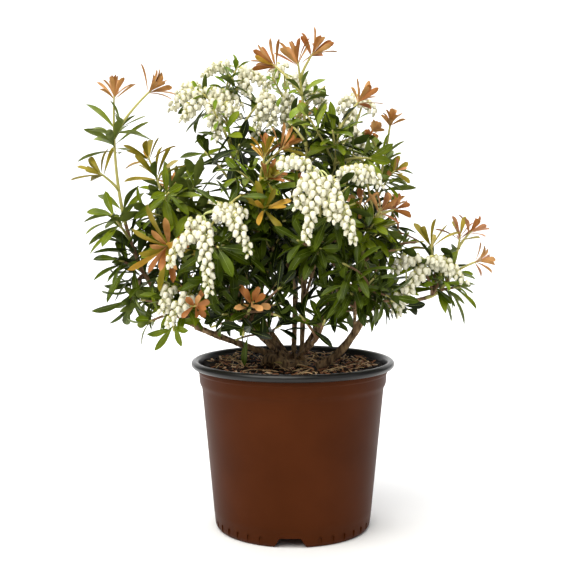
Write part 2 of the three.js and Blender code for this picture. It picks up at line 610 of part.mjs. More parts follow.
// A spray's stems as one surface: each shoot is three-sided, and its leaves and side shoots are
// drawn out of the faces of its buds, where there is room for them.
function leafyStems(leader, random, fits) {
  const corners = [];
  const faces = [];
  const add = (point) => corners.push(point) - 1;
  const middle = (face) => face.reduce(
    (sum, i) => sum.addScaledVector(corners[i], 1 / 3), new THREE.Vector3());

  // How far a fourth corner stands out from the plane of three.
  const standsOut = (p, q, r, s) => corners[s].clone().sub(corners[p]).dot(
    corners[q].clone().sub(corners[p]).cross(corners[r].clone().sub(corners[p])));

  // Three walls between two rings of three corners, paired so that they twist least, and each
  // folded so that it bulges outwards.
  function joinRings(lower, upper) {
    const length = (turn) => lower.reduce((sum, i, j) =>
      sum + corners[i].distanceTo(corners[upper[(j + turn) % 3]]), 0);
    const turn = [0, 1, 2].reduce((best, k) => (length(k) < length(best) ? k : best));
    for (let j = 0; j < 3; j++) {
      const [p, q] = [lower[j], lower[(j + 1) % 3]];
      const [r, n] = [upper[(j + turn) % 3], upper[(j + 1 + turn) % 3]];
      faces.push(...(standsOut(p, q, n, r) < 0 ? [[p, q, n], [p, n, r]] : [[p, q, r], [q, n, r]]));
    }
  }

  function addLeaf(rootFace, stemward, out, lean, kind, keeled) {
    const root = middle(rootFace);
    const along = stemward.clone().multiplyScalar(Math.cos(lean)).addScaledVector(out, Math.sin(lean));
    along.addScaledVector(UP, -kind.droop).normalize();
    const facing = stemward.clone().addScaledVector(UP, 0.6);
    const full = kind.length * (0.84 + 0.28 * random());
    const made = LEAF.shorter
      .map((part) => blade(root, along, facing, full * part, kind.width * Math.sqrt(part), keeled))
      .find((points) => fits(root, points));
    if (!made) return faces.push(rootFace);
    const [left, right, rib, tip] = made.map(add);
    const rim = keeled ? [right, rib, left] : [left, rib, right];
    joinRings(rootFace, rim);
    return rim.forEach((corner, j) => faces.push([corner, rim[(j + 1) % 3], tip]));
  }

  // The six faces of a bud, with the bearing and the lean of a leaf from each.
  function budFaces(bud, ring) {
    return [0, 1, 2].flatMap((side) => {
      const next = (side + 1) % 3;
      return [
        {
          face: [bud.ring[side], bud.ring[next], ring[side]],
          bearing: side * 120 + 30, lean: "low", keeled: false,
        },
        {
          face: [ring[next], ring[side], bud.ring[next]],
          bearing: side * 120 + 90, lean: "high", keeled: true,
        },
      ];
    });
  }

  function growBud(bud, ring, along) {
    const sites = budFaces(bud, ring);
    if (bud.leaves) {
      for (const { face, bearing, lean, keeled } of sites) {
        const out = bud.normal.clone().applyAxisAngle(along, radians(bearing + 24 * (random() - 0.5)));
        const leaning = radians(bud.leaves[lean] + 12 * (random() - 0.5));
        addLeaf(face, along, out, leaning, bud.leaves, keeled);
      }
      return;
    }
    const centre = middle(bud.ring).lerp(middle(ring), 0.5);
    const heading = bud.side.curve.getTangent(0);
    const facing = ({ face }) => middle(face).sub(centre).dot(heading);
    const chosen = sites.reduce((p, q) => (facing(q) > facing(p) ? q : p));
    for (const site of sites) if (site !== chosen) faces.push(site.face);
    growShoot(bud.side, chosen.face);
  }

  function growShoot(shoot, rootFace) {
    let below = null;
    let normal = sideways(shoot.curve.getTangent(0), random() * 2 * Math.PI);
    for (const { t, leaves, side } of stationsOf(shoot)) {
      const along = shoot.curve.getTangent(t);
      normal = normal.clone().addScaledVector(along, -normal.dot(along)).normalize();
      const radius = lerp(shoot.rootRadius, TWIG_RADIUS, t);
      const corner = (k) => shoot.curve.getPoint(t)
        .addScaledVector(normal.clone().applyAxisAngle(along, (k * 2 * Math.PI) / 3), radius);
      const ring = t === 0 && rootFace ? rootFace : [0, 1, 2].map((k) => add(corner(k)));
      if (!below && !rootFace) faces.push([ring[2], ring[1], ring[0]]);
      if (below?.leaves || below?.side) growBud(below, ring, along);
      else if (below) joinRings(below.ring, ring);
      below = { ring, normal, leaves, side };
    }
    faces.push(below.ring);
  }

  growShoot(leader, null);
  const geometry = new THREE.BufferGeometry().setFromPoints(corners);
  return geometry.setIndex(faces.flat());
}

// Hanging racemes from a shoot's tip: the first drops steeply in front, the others arch to the
// sides; each swells at every second ring of bells.
function* racemes(shoot, random) {
  if (shoot.ends !== "bloom") return;
  const foot = shoot.curve.getPoint(1 - BUD_HEIGHT / shoot.span);
  for (let i = 0; i < shoot.count; i++) {
    const bearing = radians(RACEME.bearingsDeg[i] + RACEME.spreadDeg * (random() - 0.5));
    const out = new THREE.Vector3(Math.cos(bearing), Math.sin(bearing), 0);
    const reach = RACEME.reach[i];
    const drop = RACEME.drop[i] * shoot.size;
    const over = foot.clone().addScaledVector(out, reach * 0.8).addScaledVector(UP, RACEME.rise);
    const end = foot.clone().addScaledVector(out, reach).addScaledVector(UP, -drop);
    const steps = Math.max(4, Math.round((drop + reach) / RACEME.step));
    const swell = (t) => {
      const ring = Math.round(t * steps);
      return [0.15, 0.8, 1][ring] ?? (ring % 2 ? 0.76 : 1);
    };
    const radiusAt = (t) => RACEME.radius * (1 - 0.5 * t * t) * swell(t);
    yield tube(curveOf(foot, over, end), radiusAt, RACEME.sides, steps);
  }
}

// ---------------------------------------------------------------- the space each spray keeps to

const OWN_MARGIN = 1.2; // how much nearer its own shoots a point has to be
const LEAF_MARGIN = 4; // between the outer parts of two leaves
const STEM_MARGIN = 3.4; // between a leaf's outer part and the middle of a stem
const SHOOT_MARGIN = 7; // between the middles of two sprays' stems
const LIMB_MARGIN = 1.2;
const RIM_MARGIN = 3;

function nearest(point, sites) {
  let least = Infinity;
  for (const site of sites) least = Math.min(least, point.distanceToSquared(site));
  return Math.sqrt(least);
}

// The corners of a piece and the middles of its faces.
function samples(geometry) {
  const flat = geometry.index ? geometry.toNonIndexed() : geometry;
  const position = flat.attributes.position;
  const found = [];
  for (let i = 0; i < position.count; i += 3) {
    const corners = [0, 1, 2].map((k) => new THREE.Vector3().fromBufferAttribute(position, i + k));
    const middle = corners[0].clone().add(corners[1]).add(corners[2]).divideScalar(3);
    found.push(...corners, middle);
  }
  return found;
}

function clearOfPot(point) {
  const reach = Math.hypot(point.x, point.y);
  const floor = reach > COLLAR_RADIUS - 12 ? RIM_TOP + RIM_MARGIN : SOIL_TOP + 8;
  return point.z > floor;
}

const clearOfLimbs = (point, limbs, margin) =>
  limbs.every(({ at, radius }) => at.distanceTo(point) > radius + margin);

function keepsToItsSpace(points, own, others, limbs) {
  return points.every((point) =>
    clearOfPot(point) && clearOfLimbs(point, limbs, LIMB_MARGIN) &&
    nearest(point, own) + OWN_MARGIN < nearest(point, others));
}

// Places spread over a leaf: those near its root, then those out beyond it.
function placesOn(root, [left, right, rib, tip]) {
  const between = (p, q, share) => p.clone().lerp(q, share);
  const rim = [left, right, rib];
  return {
    near: rim.flatMap((corner) => [0.15, 0.4].map((share) => between(root, corner, share))),
    outer: [tip, ...rim, ...rim.flatMap((corner) =>
      [between(corner, tip, 0.5), between(root, corner, 0.7)])],
  };
}

// Leaves out the side shoots that would touch a limb or another spray's stem.
function pruneForks(leaders, limbs) {
  const laid = leaders.map(stemPlaces);
  leaders.forEach((leader, own) => {
    const others = () => laid.flatMap((places, i) => (i === own ? [] : places));
    leader.forks = leader.forks.filter(({ side }) => {
      const places = stemPlaces(side);
      const free = places.slice(1).every((place) =>
        clearOfLimbs(place, limbs, SIDE_RADIUS + 1) && nearest(place, others()) > SHOOT_MARGIN);
      if (free) laid[own].push(...places);
      return free;
    });
  });
}

// A run of close spots along a curve.
const spotsOn = (curve, count, radiusAt) => Array.from({ length: count + 1 }, (_, i) => ({
  at: curve.getPoint(i / count), radius: radiusAt(i / count),
}));

function shootSites(shoot) {
  const along = shoot.curve.getPoints(Math.ceil(shoot.span / 8));
  if (shoot.ends !== "bloom") return along;
  const tip = shoot.curve.getPoint(1);
  return [...along, ...[0.35, 0.7, 1].map((part) => tip.clone().addScaledVector(UP, -part * shoot.size))];
}

// One spray: its shoots, with the leaves and racemes that keep to its space and clear of each
// other, fused.
function spraySolid(shoots, seed, own, others, limbs) {
  const random = seeded(seed + 500);
  const pieces = [];
  const stems = shoots.flatMap(stemPlaces);
  const taken = [];
  const keeps = (points) => keepsToItsSpace(points, own, others, limbs);
  for (const raceme of shoots.flatMap((shoot) => [...racemes(shoot, random)])) {
    const points = samples(raceme);
    if (!keeps(points)) continue;
    pieces.push(raceme);
    taken.push(...points);
  }
  const fits = (root, corners) => {
    const { near, outer } = placesOn(root, corners);
    if (outer.some((point) => nearest(point, taken) < LEAF_MARGIN)) return false;
    if (outer.some((point) => nearest(point, stems) < STEM_MARGIN)) return false;
    if (!keeps([...near, ...outer])) return false;
    taken.push(...outer);
    return true;
  };
  pieces.push(leafyStems(shoots[0], random, fits));
  return mainBody(wasm.Manifold.union(pieces.map(solid)));
}

// ---------------------------------------------------------------- assembly

const ORIGIN = new THREE.Vector3();
const container = new THREE.Group();
container.add(meshOf("pot", pot(), ORIGIN, COLOURS.pot));
container.add(meshOf("potting_mix", soil(), ORIGIN, COLOURS.soil));

const wood = new THREE.Group();
const crownFoot = new THREE.Vector3(CROWN.x, CROWN.y, SOIL_TOP + GAP);
wood.add(meshOf("root_crown", rootCrown(), crownFoot, COLOURS.bark));
const curves = boughCurves();
for (const { name, made, foot } of boughSolids(curves)) {
  wood.add(meshOf(name, made, foot, COLOURS.bark));
}

const limbs = Object.values(curves).flatMap(({ curve, radiusAt }) => spotsOn(curve, 40, radiusAt));
const leaders = Object.values(SPRAYS).map((spray) => skeleton(spray, curves[spray.bough]));
pruneForks(leaders, limbs);
const sites = leaders.map((leader) => shootsOf(leader).flatMap(shootSites));

const crown = new THREE.Group();
Object.entries(SPRAYS).forEach(([name, { seed }], i) => {
  const others = sites.flatMap((spots, j) => (j === i ? [] : spots));
  const made = spraySolid(shootsOf(leaders[i]), seed, sites[i], others, limbs);
  crown.add(meshOf(name, made, leaders[i].curve.getPoint(0), COLOURS.foliage));
});

const plant = new THREE.Group();
plant.add(container, wood, crown);

export default plant;
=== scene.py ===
"""A pieris shrub in bloom in a nursery pot: its looks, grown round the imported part.

The plant's skeleton follows the part's own seeded rule, so every bough, shoot and whorl is where
the solids have it. Sizes are in millimetres until a mesh is made; meshes are in metres.
"""

import math

import bpy
import numpy as np
from mathutils import Matrix, Vector, noise


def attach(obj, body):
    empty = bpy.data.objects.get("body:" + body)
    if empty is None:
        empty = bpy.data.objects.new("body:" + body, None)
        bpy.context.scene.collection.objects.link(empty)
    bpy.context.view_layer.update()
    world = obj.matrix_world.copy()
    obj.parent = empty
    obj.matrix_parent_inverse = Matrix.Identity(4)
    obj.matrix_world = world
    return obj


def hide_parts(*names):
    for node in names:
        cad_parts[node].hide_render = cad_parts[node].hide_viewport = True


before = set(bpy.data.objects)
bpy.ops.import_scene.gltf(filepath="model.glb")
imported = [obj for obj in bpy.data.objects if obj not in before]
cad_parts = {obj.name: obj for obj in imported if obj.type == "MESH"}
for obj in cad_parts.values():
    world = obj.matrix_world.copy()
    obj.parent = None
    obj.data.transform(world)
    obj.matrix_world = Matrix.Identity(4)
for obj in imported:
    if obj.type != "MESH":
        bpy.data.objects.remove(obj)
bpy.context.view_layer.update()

MM = 0.001
UP = np.array([0.0, 0.0, 1.0])
GOLDEN_ANGLE = math.radians(137.5)
CAMERA = {"place": (-5.5, -1179, 373), "pitch": 4.89, "lens": 65.4, "sensor": 36}
PICTURE_SIDE = 576  # pixels

# ---------------------------------------------------------------- the part's sizes

GAP = 0.3  # between the solids that meet
RIM_RADIUS = 115
RIM_TOP = 191.5
LIP_THICK = 8.4
COLLAR_RADIUS = 107.3
COLLAR_STEP = 177
COLLAR_FOOT = 165.5
WALL_TOP_RADIUS = 103.2
WALL_FOOT_RADIUS = 88.6
WALL = 2
FLOOR_UNDER = 11.6
FOOT_RING = 7.5
HUB_RADIUS = 24

SOIL_TOP = 183
SOIL_EDGE_RISE = 3.2
CROWN = {"x": 0, "y": 4, "flare": 27, "neck": 15, "height": 17}
KNUCKLE = {"radius": 8.5, "from": (-4, -20, 181), "over": (-26, -26, 214), "to": (-30, 0, 184)}

ROOTED = {"inside": 0.72, "height": 0.55}  # a stem's root in the crown: shares of neck and height
BOUGH = {"middle": 0.55, "sweep": 0.45}
SIDE_RADIUS = 1.9  # at a side shoot's foot
TWIG_RADIUS = 1.15  # at a shoot's tip
FORK = {"angle": 42, "highest": 0.86, "lowest": 0.1, "step": 0.04, "outward": 0.65}
SWEEP = 0.4  # share of a shoot's length that it runs on straight from its foot
TWIG = {"from": 0.1, "along": 0.55, "out": (30, 52), "up": (10, 30)}
YEAR = 54  # length of stem that one year grows, from whorl to whorl
WHORL_ABOVE_FOOT = 9  # a shoot's lowest whorl is no nearer than this to its foot
FIRST_WHORL = {"leaves": 2, "bloom": 16}  # below the tip of a shoot with no young growth

# Boughs: name, parent, where on the parent (0 to 1) or bearing on the crown (degrees),
# tip x, y, z, share of the rise done at mid-length, radius at the root, radius at the tip.
BOUGHS = [
    ("low_left_stem", "crown", 183, -109, -14, 230, 0.45, 4.6, 3.5),
    ("left_stem", "crown", 140, -72, -8, 274, 0.5, 5, 3.4),
    ("front_left_stem", "crown", 235, -44, -60, 236, 0.4, 4, 3),
    ("front_right_stem", "crown", 290, 24, -64, 222, 0.45, 3.8, 2.8),
    ("right_stem", "crown", 338, 86, -34, 262, 0.08, 6, 4),
    ("centre_stem", "crown", 20, 14, -2, 318, 0.7, 4.6, 3.2),
    ("back_right_stem", "crown", 52, 58, 62, 268, 0.5, 4.8, 3.2),
    ("back_stem", "crown", 85, 4, 74, 276, 0.5, 4.6, 3.2),
    ("back_left_stem", "crown", 118, -62, 62, 270, 0.5, 4.6, 3.2),
    ("far_left_bough", "low_left_stem", 1, -157, -12, 274, 0.4, 3.4, 2.8),
    ("low_left_bough", "low_left_stem", 0.8, -120, -40, 246, 0.5, 2.6, 2.2),
    ("left_mid_bough", "left_stem", 1, -112, -12, 318, 0.5, 3, 2.4),
    ("left_front_bough", "left_stem", 0.7, -70, -56, 288, 0.5, 2.8, 2.2),
    ("upper_left_bough", "left_stem", 0.93, -66, 20, 372, 0.55, 3, 2.4),
    ("inner_left_bough", "left_stem", 0.55, -30, 18, 290, 0.5, 2.6, 2.2),
    ("upper_mid_bough", "centre_stem", 0.6, -26, -36, 322, 0.5, 2.8, 2.2),
    ("top_bough", "centre_stem", 1, 16, -4, 394, 0.5, 3.1, 2.6),
    ("centre_front_bough", "centre_stem", 0.4, 24, -66, 308, 0.45, 2.6, 2.2),
    ("upper_right_bough", "centre_stem", 0.85, 40, -22, 384, 0.5, 2.8, 2.2),
    ("right_mid_bough", "right_stem", 1, 80, -42, 300, 0.5, 3.2, 2.4),
    ("right_centre_bough", "right_stem", 0.75, 66, -66, 258, 0.5, 2.8, 2.2),
    ("far_right_bough", "right_stem", 0.9, 150, -10, 262, 0.45, 3, 2.4),
    ("inner_right_bough", "back_right_stem", 0.55, 50, 14, 288, 0.5, 2.6, 2.2),
    ("right_top_bough", "back_right_stem", 0.85, 86, 18, 350, 0.5, 2.8, 2.2),
    ("right_back_bough", "back_right_stem", 1, 94, 84, 306, 0.5, 2.8, 2.2),
    ("high_right_bough", "back_right_stem", 0.94, 60, 56, 386, 0.6, 2.6, 2.2),
    ("back_low_right_bough", "back_right_stem", 0.6, 84, 84, 240, 0.4, 2.4, 2),
    ("back_mid_bough", "back_stem", 1, 4, 96, 308, 0.5, 2.8, 2.2),
    ("high_back_bough", "back_stem", 0.9, 0, 52, 386, 0.6, 2.8, 2.2),
    ("left_back_bough", "back_left_stem", 1, -100, 84, 306, 0.5, 2.8, 2.2),
    ("back_low_left_bough", "back_left_stem", 0.6, -84, 84, 240, 0.4, 2.4, 2),
]

# Sprays, each on the bough of its name unless it states another. It has a seed, how many short
# twigs grow by rule, and its shoots: the tip x, y, z, and for a shoot that ends in more than green
# leaves how it ends, and then for young growth the length below its tip to the first whorl, or for
# bloom how far its racemes hang and how many.
# It may have green, the tint of its outer whorls, where dark is painted shade on a spray that
# stands in the crown's shade; leaf_size; finer, False where no twigs finer than the part's show;
# and fine shoots, with their leaves' tint and size before the rest. Under own are single shoots
# with tints or a size of their young growth, few and open leaves in it, or whorls at other lengths
# below the tip than the rule's.
SPRAYS = {
    "far_left": {
        "seed": 11, "twigs": 0, "leaf_size": 1.08, "finer": False,
        "shoots": [(-198, -6, 490, "copper", 50), (-156, -4, 494, "copper", 58),
                   (-216, -10, 402, "olive", 24), (-182, -26, 250), (-176, 14, 262),
                   (-200, -26, 356), (-192, -34, 306)],
        "own": {0: {"size": 1.15, "whorls": (38, 111, 150, 168, 190)},
                1: {"size": 1.25, "whorls": (50, 74)}, 2: {"whorls": ()}},
    },
    "low_left": {
        "seed": 12, "twigs": 3, "leaf_size": 0.78, "finer": False,
        "shoots": [(-146, -60, 286, "bloom", 34, 1), (-112, -78, 284, "bloom", 34, 1),
                   (-100, -100, 262, "copper", 16), (-160, -56, 238), (-126, -86, 234)],
        "own": {2: {"tints": "rust copper", "size": 0.75, "open": True}},
    },
    "left_mid": {
        "seed": 13, "twigs": 2, "leaf_size": 1.08,
        "shoots": [(-152, -8, 400, "olive", 26), (-108, 6, 396), (-134, -66, 322, "large", 18),
                   (-168, -14, 360)],
        "fine": [("mid", 0.8, -161, -8, 420, "olive", 22)],
        "own": {0: {"size": 1.35}, 2: {"tints": "copper olive amber rust", "size": 1.25}},
    },
    "left_front": {
        "seed": 14, "twigs": 3, "green": "dark",
        "shoots": [(-92, -98, 354, "bloom", 76, 3), (-52, -92, 330), (-98, -88, 300)],
    },
    "upper_left": {
        "seed": 15, "twigs": 2, "finer": False,
        "shoots": [(-84, 38, 500, "bloom", 48, 3), (-124, 44, 494, "bloom", 28, 1),
                   (-54, 56, 518, "bloom", 32, 2), (-34, 34, 488, "bloom", 46, 1),
                   (-100, 14, 426)],
        "fine": [("fresh", 0.55, -62, 42, 527), ("fresh", 0.5, -108, 18, 496),
                 ("fresh", 0.5, -72, 34, 514), ("fresh", 0.45, -90, 0, 474)],
        "own": {2: {"whorls": (4, 16)}},
    },
    "inner_left": {
        "seed": 33, "twigs": 3, "green": "dark",
        "shoots": [(-44, 20, 352), (-66, 22, 322), (-18, 24, 330), (-52, -22, 308)],
    },
    "upper_mid": {
        "seed": 16, "twigs": 2, "green": "bright",
        "shoots": [(-29, -62, 422, "copper", 24), (-9, -64, 428, "copper", 28),
                   (-29, -88, 364, "large", 18), (-58, -40, 392), (-26, -74, 396, "copper", 16),
                   (-58, -70, 344)],
        "own": {0: {"tints": "rust amber olive", "size": 1.15},
                1: {"tints": "rust copper olive", "size": 1.15},
                2: {"tints": "olive amber", "size": 1.3, "open": True},
                4: {"tints": "rust olive copper"}},
    },
    "top": {
        "seed": 17, "twigs": 2, "green": "bright", "leaf_size": 0.9, "finer": False,
        "shoots": [(5, -6, 526, "copper", 26), (24, 0, 536, "copper", 60),
                   (-24, 4, 523, "copper", 48), (30, -24, 448)],
        "own": {0: {"tints": "rust copper", "size": 1.35},
                1: {"tints": "rust copper", "size": 1.3, "whorls": (86, 116)},
                2: {"tints": "copper rust amber", "size": 1.3}},
    },
    "high_back": {
        "seed": 18, "twigs": 2, "finer": False,
        "shoots": [(-10, 64, 516, "bloom", 36, 2), (38, 58, 504, "bloom", 40, 1),
                   (10, 106, 474, "copper", 30)],
        "fine": [("fresh", 0.45, -24, 40, 512), ("fresh", 0.5, 28, 40, 498)],
    },
    "upper_right": {
        "seed": 19, "twigs": 2, "finer": False,
        "shoots": [(50, -24, 458), (75, -14, 482, "copper", 40)],
        "fine": [("mid", 0.9, 14, -52, 462), ("mid", 0.9, 42, -50, 446)],
        "own": {1: {"tints": "rust copper", "size": 1.15}},
    },
    "high_right": {
        "seed": 20, "twigs": 2, "leaf_size": 0.8, "finer": False,
        "shoots": [(82, 54, 484, "bloom", 30, 2), (62, 58, 466, "bloom", 36, 1),
                   (98, 88, 456, "copper", 30)],
        "own": {2: {"size": 0.6}},
    },
    "right_top": {
        "seed": 21, "twigs": 2, "leaf_size": 0.82, "finer": False,
        "shoots": [(109, -2, 460, "copper", 42), (84, -4, 444, "copper", 20),
                   (114, -14, 404, "copper", 12), (110, 34, 396)],
        "own": {0: {"size": 0.75}, 1: {"tints": "rust", "size": 0.4},
                2: {"tints": "rust salmon olive", "size": 0.8, "open": True}},
    },
    "centre_front": {
        "seed": 22, "twigs": 2, "green": "dark", "leaf_size": 0.85,
        "shoots": [(26, -120, 396, "bloom", 70, 3), (42, -112, 396, "bloom", 72, 1),
                   (28, -106, 322), (4, -96, 330)],
    },
    "right_mid": {
        "seed": 23, "twigs": 2, "leaf_size": 0.86,
        "shoots": [(96, -60, 364, "copper", 26), (70, -64, 368, "copper", 20),
                   (112, -56, 362, "copper", 30), (72, -78, 404, "bloom", 22, 2), (120, -50, 318)],
        "own": {0: {"tints": "salmon copper", "size": 1.1, "open": True},
                1: {"tints": "salmon copper", "size": 1.1, "open": True},
                2: {"tints": "salmon rust", "size": 0.95, "open": True}, 5: {"whorls": (20,)}},
    },
    "right_centre": {
        "seed": 24, "twigs": 2, "green": "dark", "leaf_size": 0.76,
        "shoots": [(84, -92, 290), (58, -108, 276), (112, -74, 264)],
    },
    "inner_right": {
        "seed": 34, "twigs": 3, "green": "dark",
        "shoots": [(56, 6, 348), (28, 18, 334), (88, 14, 318)],
    },
    "centre_low": {
        "bough": "front_left_stem", "seed": 25, "twigs": 3, "green": "dark", "leaf_size": 0.76,
        "shoots": [(-41, -102, 266, "copper", 18), (-64, -84, 286), (-10, -100, 284),
                   (-52, -108, 232)],
        "own": {0: {"tints": "rust copper", "size": 0.9, "open": True}},
    },
    "front_right": {
        "bough": "front_right_stem", "seed": 26, "twigs": 1, "green": "dark", "leaf_size": 0.8,
        "finer": False, "shoots": [(33, -94, 247), (6, -92, 252)],
    },
    "far_right": {
        "seed": 27, "twigs": 0, "finer": False,
        "shoots": [(188, -4, 334, "copper", 16), (202, -2, 338, "copper", 30),
                   (210, -8, 304, "copper", 34), (155, 2, 322, "olive", 16),
                   (132, -26, 308, "bloom", 42, 3), (166, -20, 304, "bloom", 26, 2),
                   (188, -12, 274)],
        "fine": [("fresh", 0.8, 164, -24, 290), ("fresh", 0.7, 182, -18, 294)],
        "own": {0: {"tints": "salmon rust olive", "size": 1.1, "open": True, "whorls": (16, 44)},
                1: {"tints": "salmon rust", "open": True},
                2: {"tints": "salmon copper", "open": True},
                3: {"tints": "olive rust", "size": 1.3}, 6: {"whorls": (2,)}},
    },
    "right_back": {
        "seed": 28, "twigs": 1, "leaf_size": 0.62, "finer": False,
        "shoots": [(124, 94, 368, "copper", 36), (110, 136, 362, "bloom", 44, 2), (156, 66, 322)],
        "own": {0: {"size": 0.8, "whorls": (62,)}, 2: {"whorls": (20,)}},
    },
    "back_low_right": {
        "seed": 29, "twigs": 1,
        "shoots": [(128, 112, 266), (84, 146, 266, "copper", 30)],
    },
    "back_mid": {
        "seed": 30, "twigs": 1,
        "shoots": [(6, 148, 392, "copper", 36), (-36, 146, 356, "bloom", 46, 2), (46, 150, 336),
                   (0, 156, 282)],
        "fine": [("mid", 0.9, 10, 174, 300)],
    },
    "left_back": {
        "seed": 31, "twigs": 1,
        "shoots": [(-144, 94, 388, "copper", 36), (-110, 136, 364, "bloom", 44, 2),
                   (-164, 70, 334)],
    },
    "back_low_left": {
        "seed": 32, "twigs": 1,
        "shoots": [(-134, 104, 264, "copper", 30), (-88, 144, 266)],
    },
}
LEAF_SEED = 200  # added to a spray's own seed, for dealing its leaves and bells

# Racemes that show from the front, by spray: where the bells begin, what they arch over, and
# where they end. Each place is the pixel across and down where it shows, and its depth y in mm.
RACEMES = {
    "upper_left": [
        ((205, 92, 28), (188, 84, 26), (170, 109, 22)),
        ((208, 92, 26), (226, 86, 22), (241, 106, 16)),
        ((212, 100, 22), (214, 116, 12), (218, 139, 8)),
        ((202, 98, 26), (192, 102, 14), (182, 120, 10)),
        ((200, 88, 34), (190, 76, 40), (176, 96, 44)),
        ((208, 96, 24), (228, 104, 10), (238, 116, 6)),
        ((230, 66, 56), (216, 58, 52), (203, 76, 50)),
        ((238, 70, 54), (254, 66, 50), (268, 88, 44)),
        ((240, 74, 54), (246, 84, 44), (249, 96, 40)),
        ((268, 90, 30), (262, 104, 22), (255, 136, 18)),
        ((266, 94, 32), (274, 102, 24), (271, 130, 20)),
    ],
    "high_back": [
        ((284, 66, 60), (274, 62, 54), (270, 84, 50)),
        ((292, 76, 58), (304, 78, 50), (313, 100, 46)),
        ((290, 92, 56), (286, 104, 46), (285, 128, 42)),
        ((302, 88, 58), (316, 90, 52), (326, 108, 48)),
    ],
    "high_right": [
        ((352, 98, 54), (344, 94, 48), (340, 112, 44)),
        ((354, 98, 54), (366, 96, 50), (376, 112, 46)),
        ((350, 108, 54), (350, 118, 46), (349, 134, 42)),
        ((352, 128, 50), (358, 136, 44), (364, 160, 40)),
    ],
    "centre_front": [
        ((278, 164, -130), (298, 148, -134), (316, 176, -142)),
        ((314, 172, -145), (302, 182, -157), (298, 208, -159)),
        ((318, 178, -147), (312, 198, -163), (306, 240, -165)),
        ((326, 174, -143), (340, 196, -161), (354, 242, -163)),
        ((324, 178, -143), (328, 196, -159), (334, 220, -161)),
    ],
    "right_mid": [
        ((336, 176, -84), (352, 162, -88), (364, 182, -92)),
        ((346, 170, -80), (366, 158, -84), (381, 186, -88)),
    ],
    "left_front": [
        ((206, 220, -104), (203, 244, -122), (209, 294, -124)),
        ((212, 212, -104), (236, 204, -116), (250, 254, -120)),
        ((214, 210, -102), (230, 198, -106), (246, 214, -110)),
        ((196, 232, -104), (182, 232, -112), (168, 264, -114)),
        ((204, 224, -102), (196, 214, -104), (186, 226, -106)),
    ],
    "low_left": [
        ((170, 284, -64), (166, 294, -74), (163, 312, -76)),
        ((190, 292, -80), (182, 300, -90), (168, 324, -92)),
    ],
    "far_right": [
        ((418, 258, -28), (406, 252, -34), (394, 270, -38)),
        ((426, 266, -28), (414, 272, -40), (402, 302, -42)),
        ((406, 288, -30), (398, 294, -38), (397, 314, -40)),
        ((428, 260, -24), (446, 250, -28), (464, 282, -32)),
        ((434, 262, -22), (446, 262, -26), (452, 274, -30)),
    ],
}
# Racemes at the back, by spray, as those above but each place is x, y, z in mm. The other bloom
# shoots bear theirs by rule.
BACK_RACEMES = {
    "right_back": [
        ((106, 134, 364), (96, 142, 372), (86, 148, 338)),
        ((110, 140, 362), (114, 156, 362), (104, 166, 328)),
    ],
}
RULED_RACEME = {"rise": 12, "spread": 50, "bearings": (-90, 0, 180), "reach": (18, 36, 36),
                "drop": (1, 0.5, 0.5)}

# ---------------------------------------------------------------- directions and curves


def seeded(seed):
    """The part's own run of numbers from 0 to 1."""
    state = seed * 7919
    while True:
        state = (state * 1664525 + 1013904223) % 2**32
        yield (state >> 8) / 2**24


def stray(random, width=1):
    """A number to either side of nought."""
    return width * (next(random) - 0.5)


def any_turn(random):
    return next(random) * 2 * math.pi


def between(limits, random):
    return lerp(*limits, next(random))


def unit(vectors):
    return vectors / np.linalg.norm(vectors, axis=-1, keepdims=True)


def lerp(low, high, share):
    return low + (high - low) * share


def turned(vector, axis, angle):
    """A vector turned round a unit axis."""
    across = np.cross(axis, vector)
    return (vector * math.cos(angle) + across * math.sin(angle)
            + axis * (axis @ vector) * (1 - math.cos(angle)))


def sideways(along, bearing):
    steep = abs(along[2]) > 0.9
    across = np.cross(along, (1.0, 0.0, 0.0) if steep else UP)
    return turned(unit(across), along, bearing)


def seen_at(across, down, y):
    """The place at depth y that shows at a pixel of the picture, to the nearest millimetre."""
    pitch, focal = math.radians(CAMERA["pitch"]), CAMERA["lens"] / CAMERA["sensor"] * PICTURE_SIDE
    right, low = (across - PICTURE_SIDE / 2) / focal, (down - PICTURE_SIDE / 2) / focal
    camera_x, camera_y, camera_z = CAMERA["place"]
    depth = (y - camera_y) / (math.cos(pitch) - low * math.sin(pitch))
    height = camera_z - depth * (math.sin(pitch) + low * math.cos(pitch))
    return round(camera_x + depth * right), y, round(height)


class Curve:
    """A quadratic curve from a start, past a middle point, to an end."""

    def __init__(self, start, through, end):
        self.start, self.through, self.end = (np.array(p, float) for p in (start, through, end))

    def at(self, t):
        t = np.asarray(t, float)[..., None]
        return (1 - t) ** 2 * self.start + 2 * (1 - t) * t * self.through + t * t * self.end

    def heading(self, t):
        t = np.asarray(t, float)[..., None]
        return unit((1 - t) * (self.through - self.start) + t * (self.end - self.through))


# ---------------------------------------------------------------- the plant's skeleton


class Shoot:
    """A shoot that sets out from its foot in one direction and bends towards its tip."""

    def __init__(self, foot, onwards, tip, root_radius, ends=()):
        tip = np.array(tip, float)
        self.span = np.linalg.norm(tip - foot)
        self.curve = Curve(foot, foot + onwards * self.span * SWEEP, tip)
        self.root_radius = root_radius
        self.ends, self.size, self.count = (*(ends or ["leaves"]), 0, 0)[:3]
        self.forks = []

    def radius(self, t):
        return lerp(self.root_radius, TWIG_RADIUS, t)


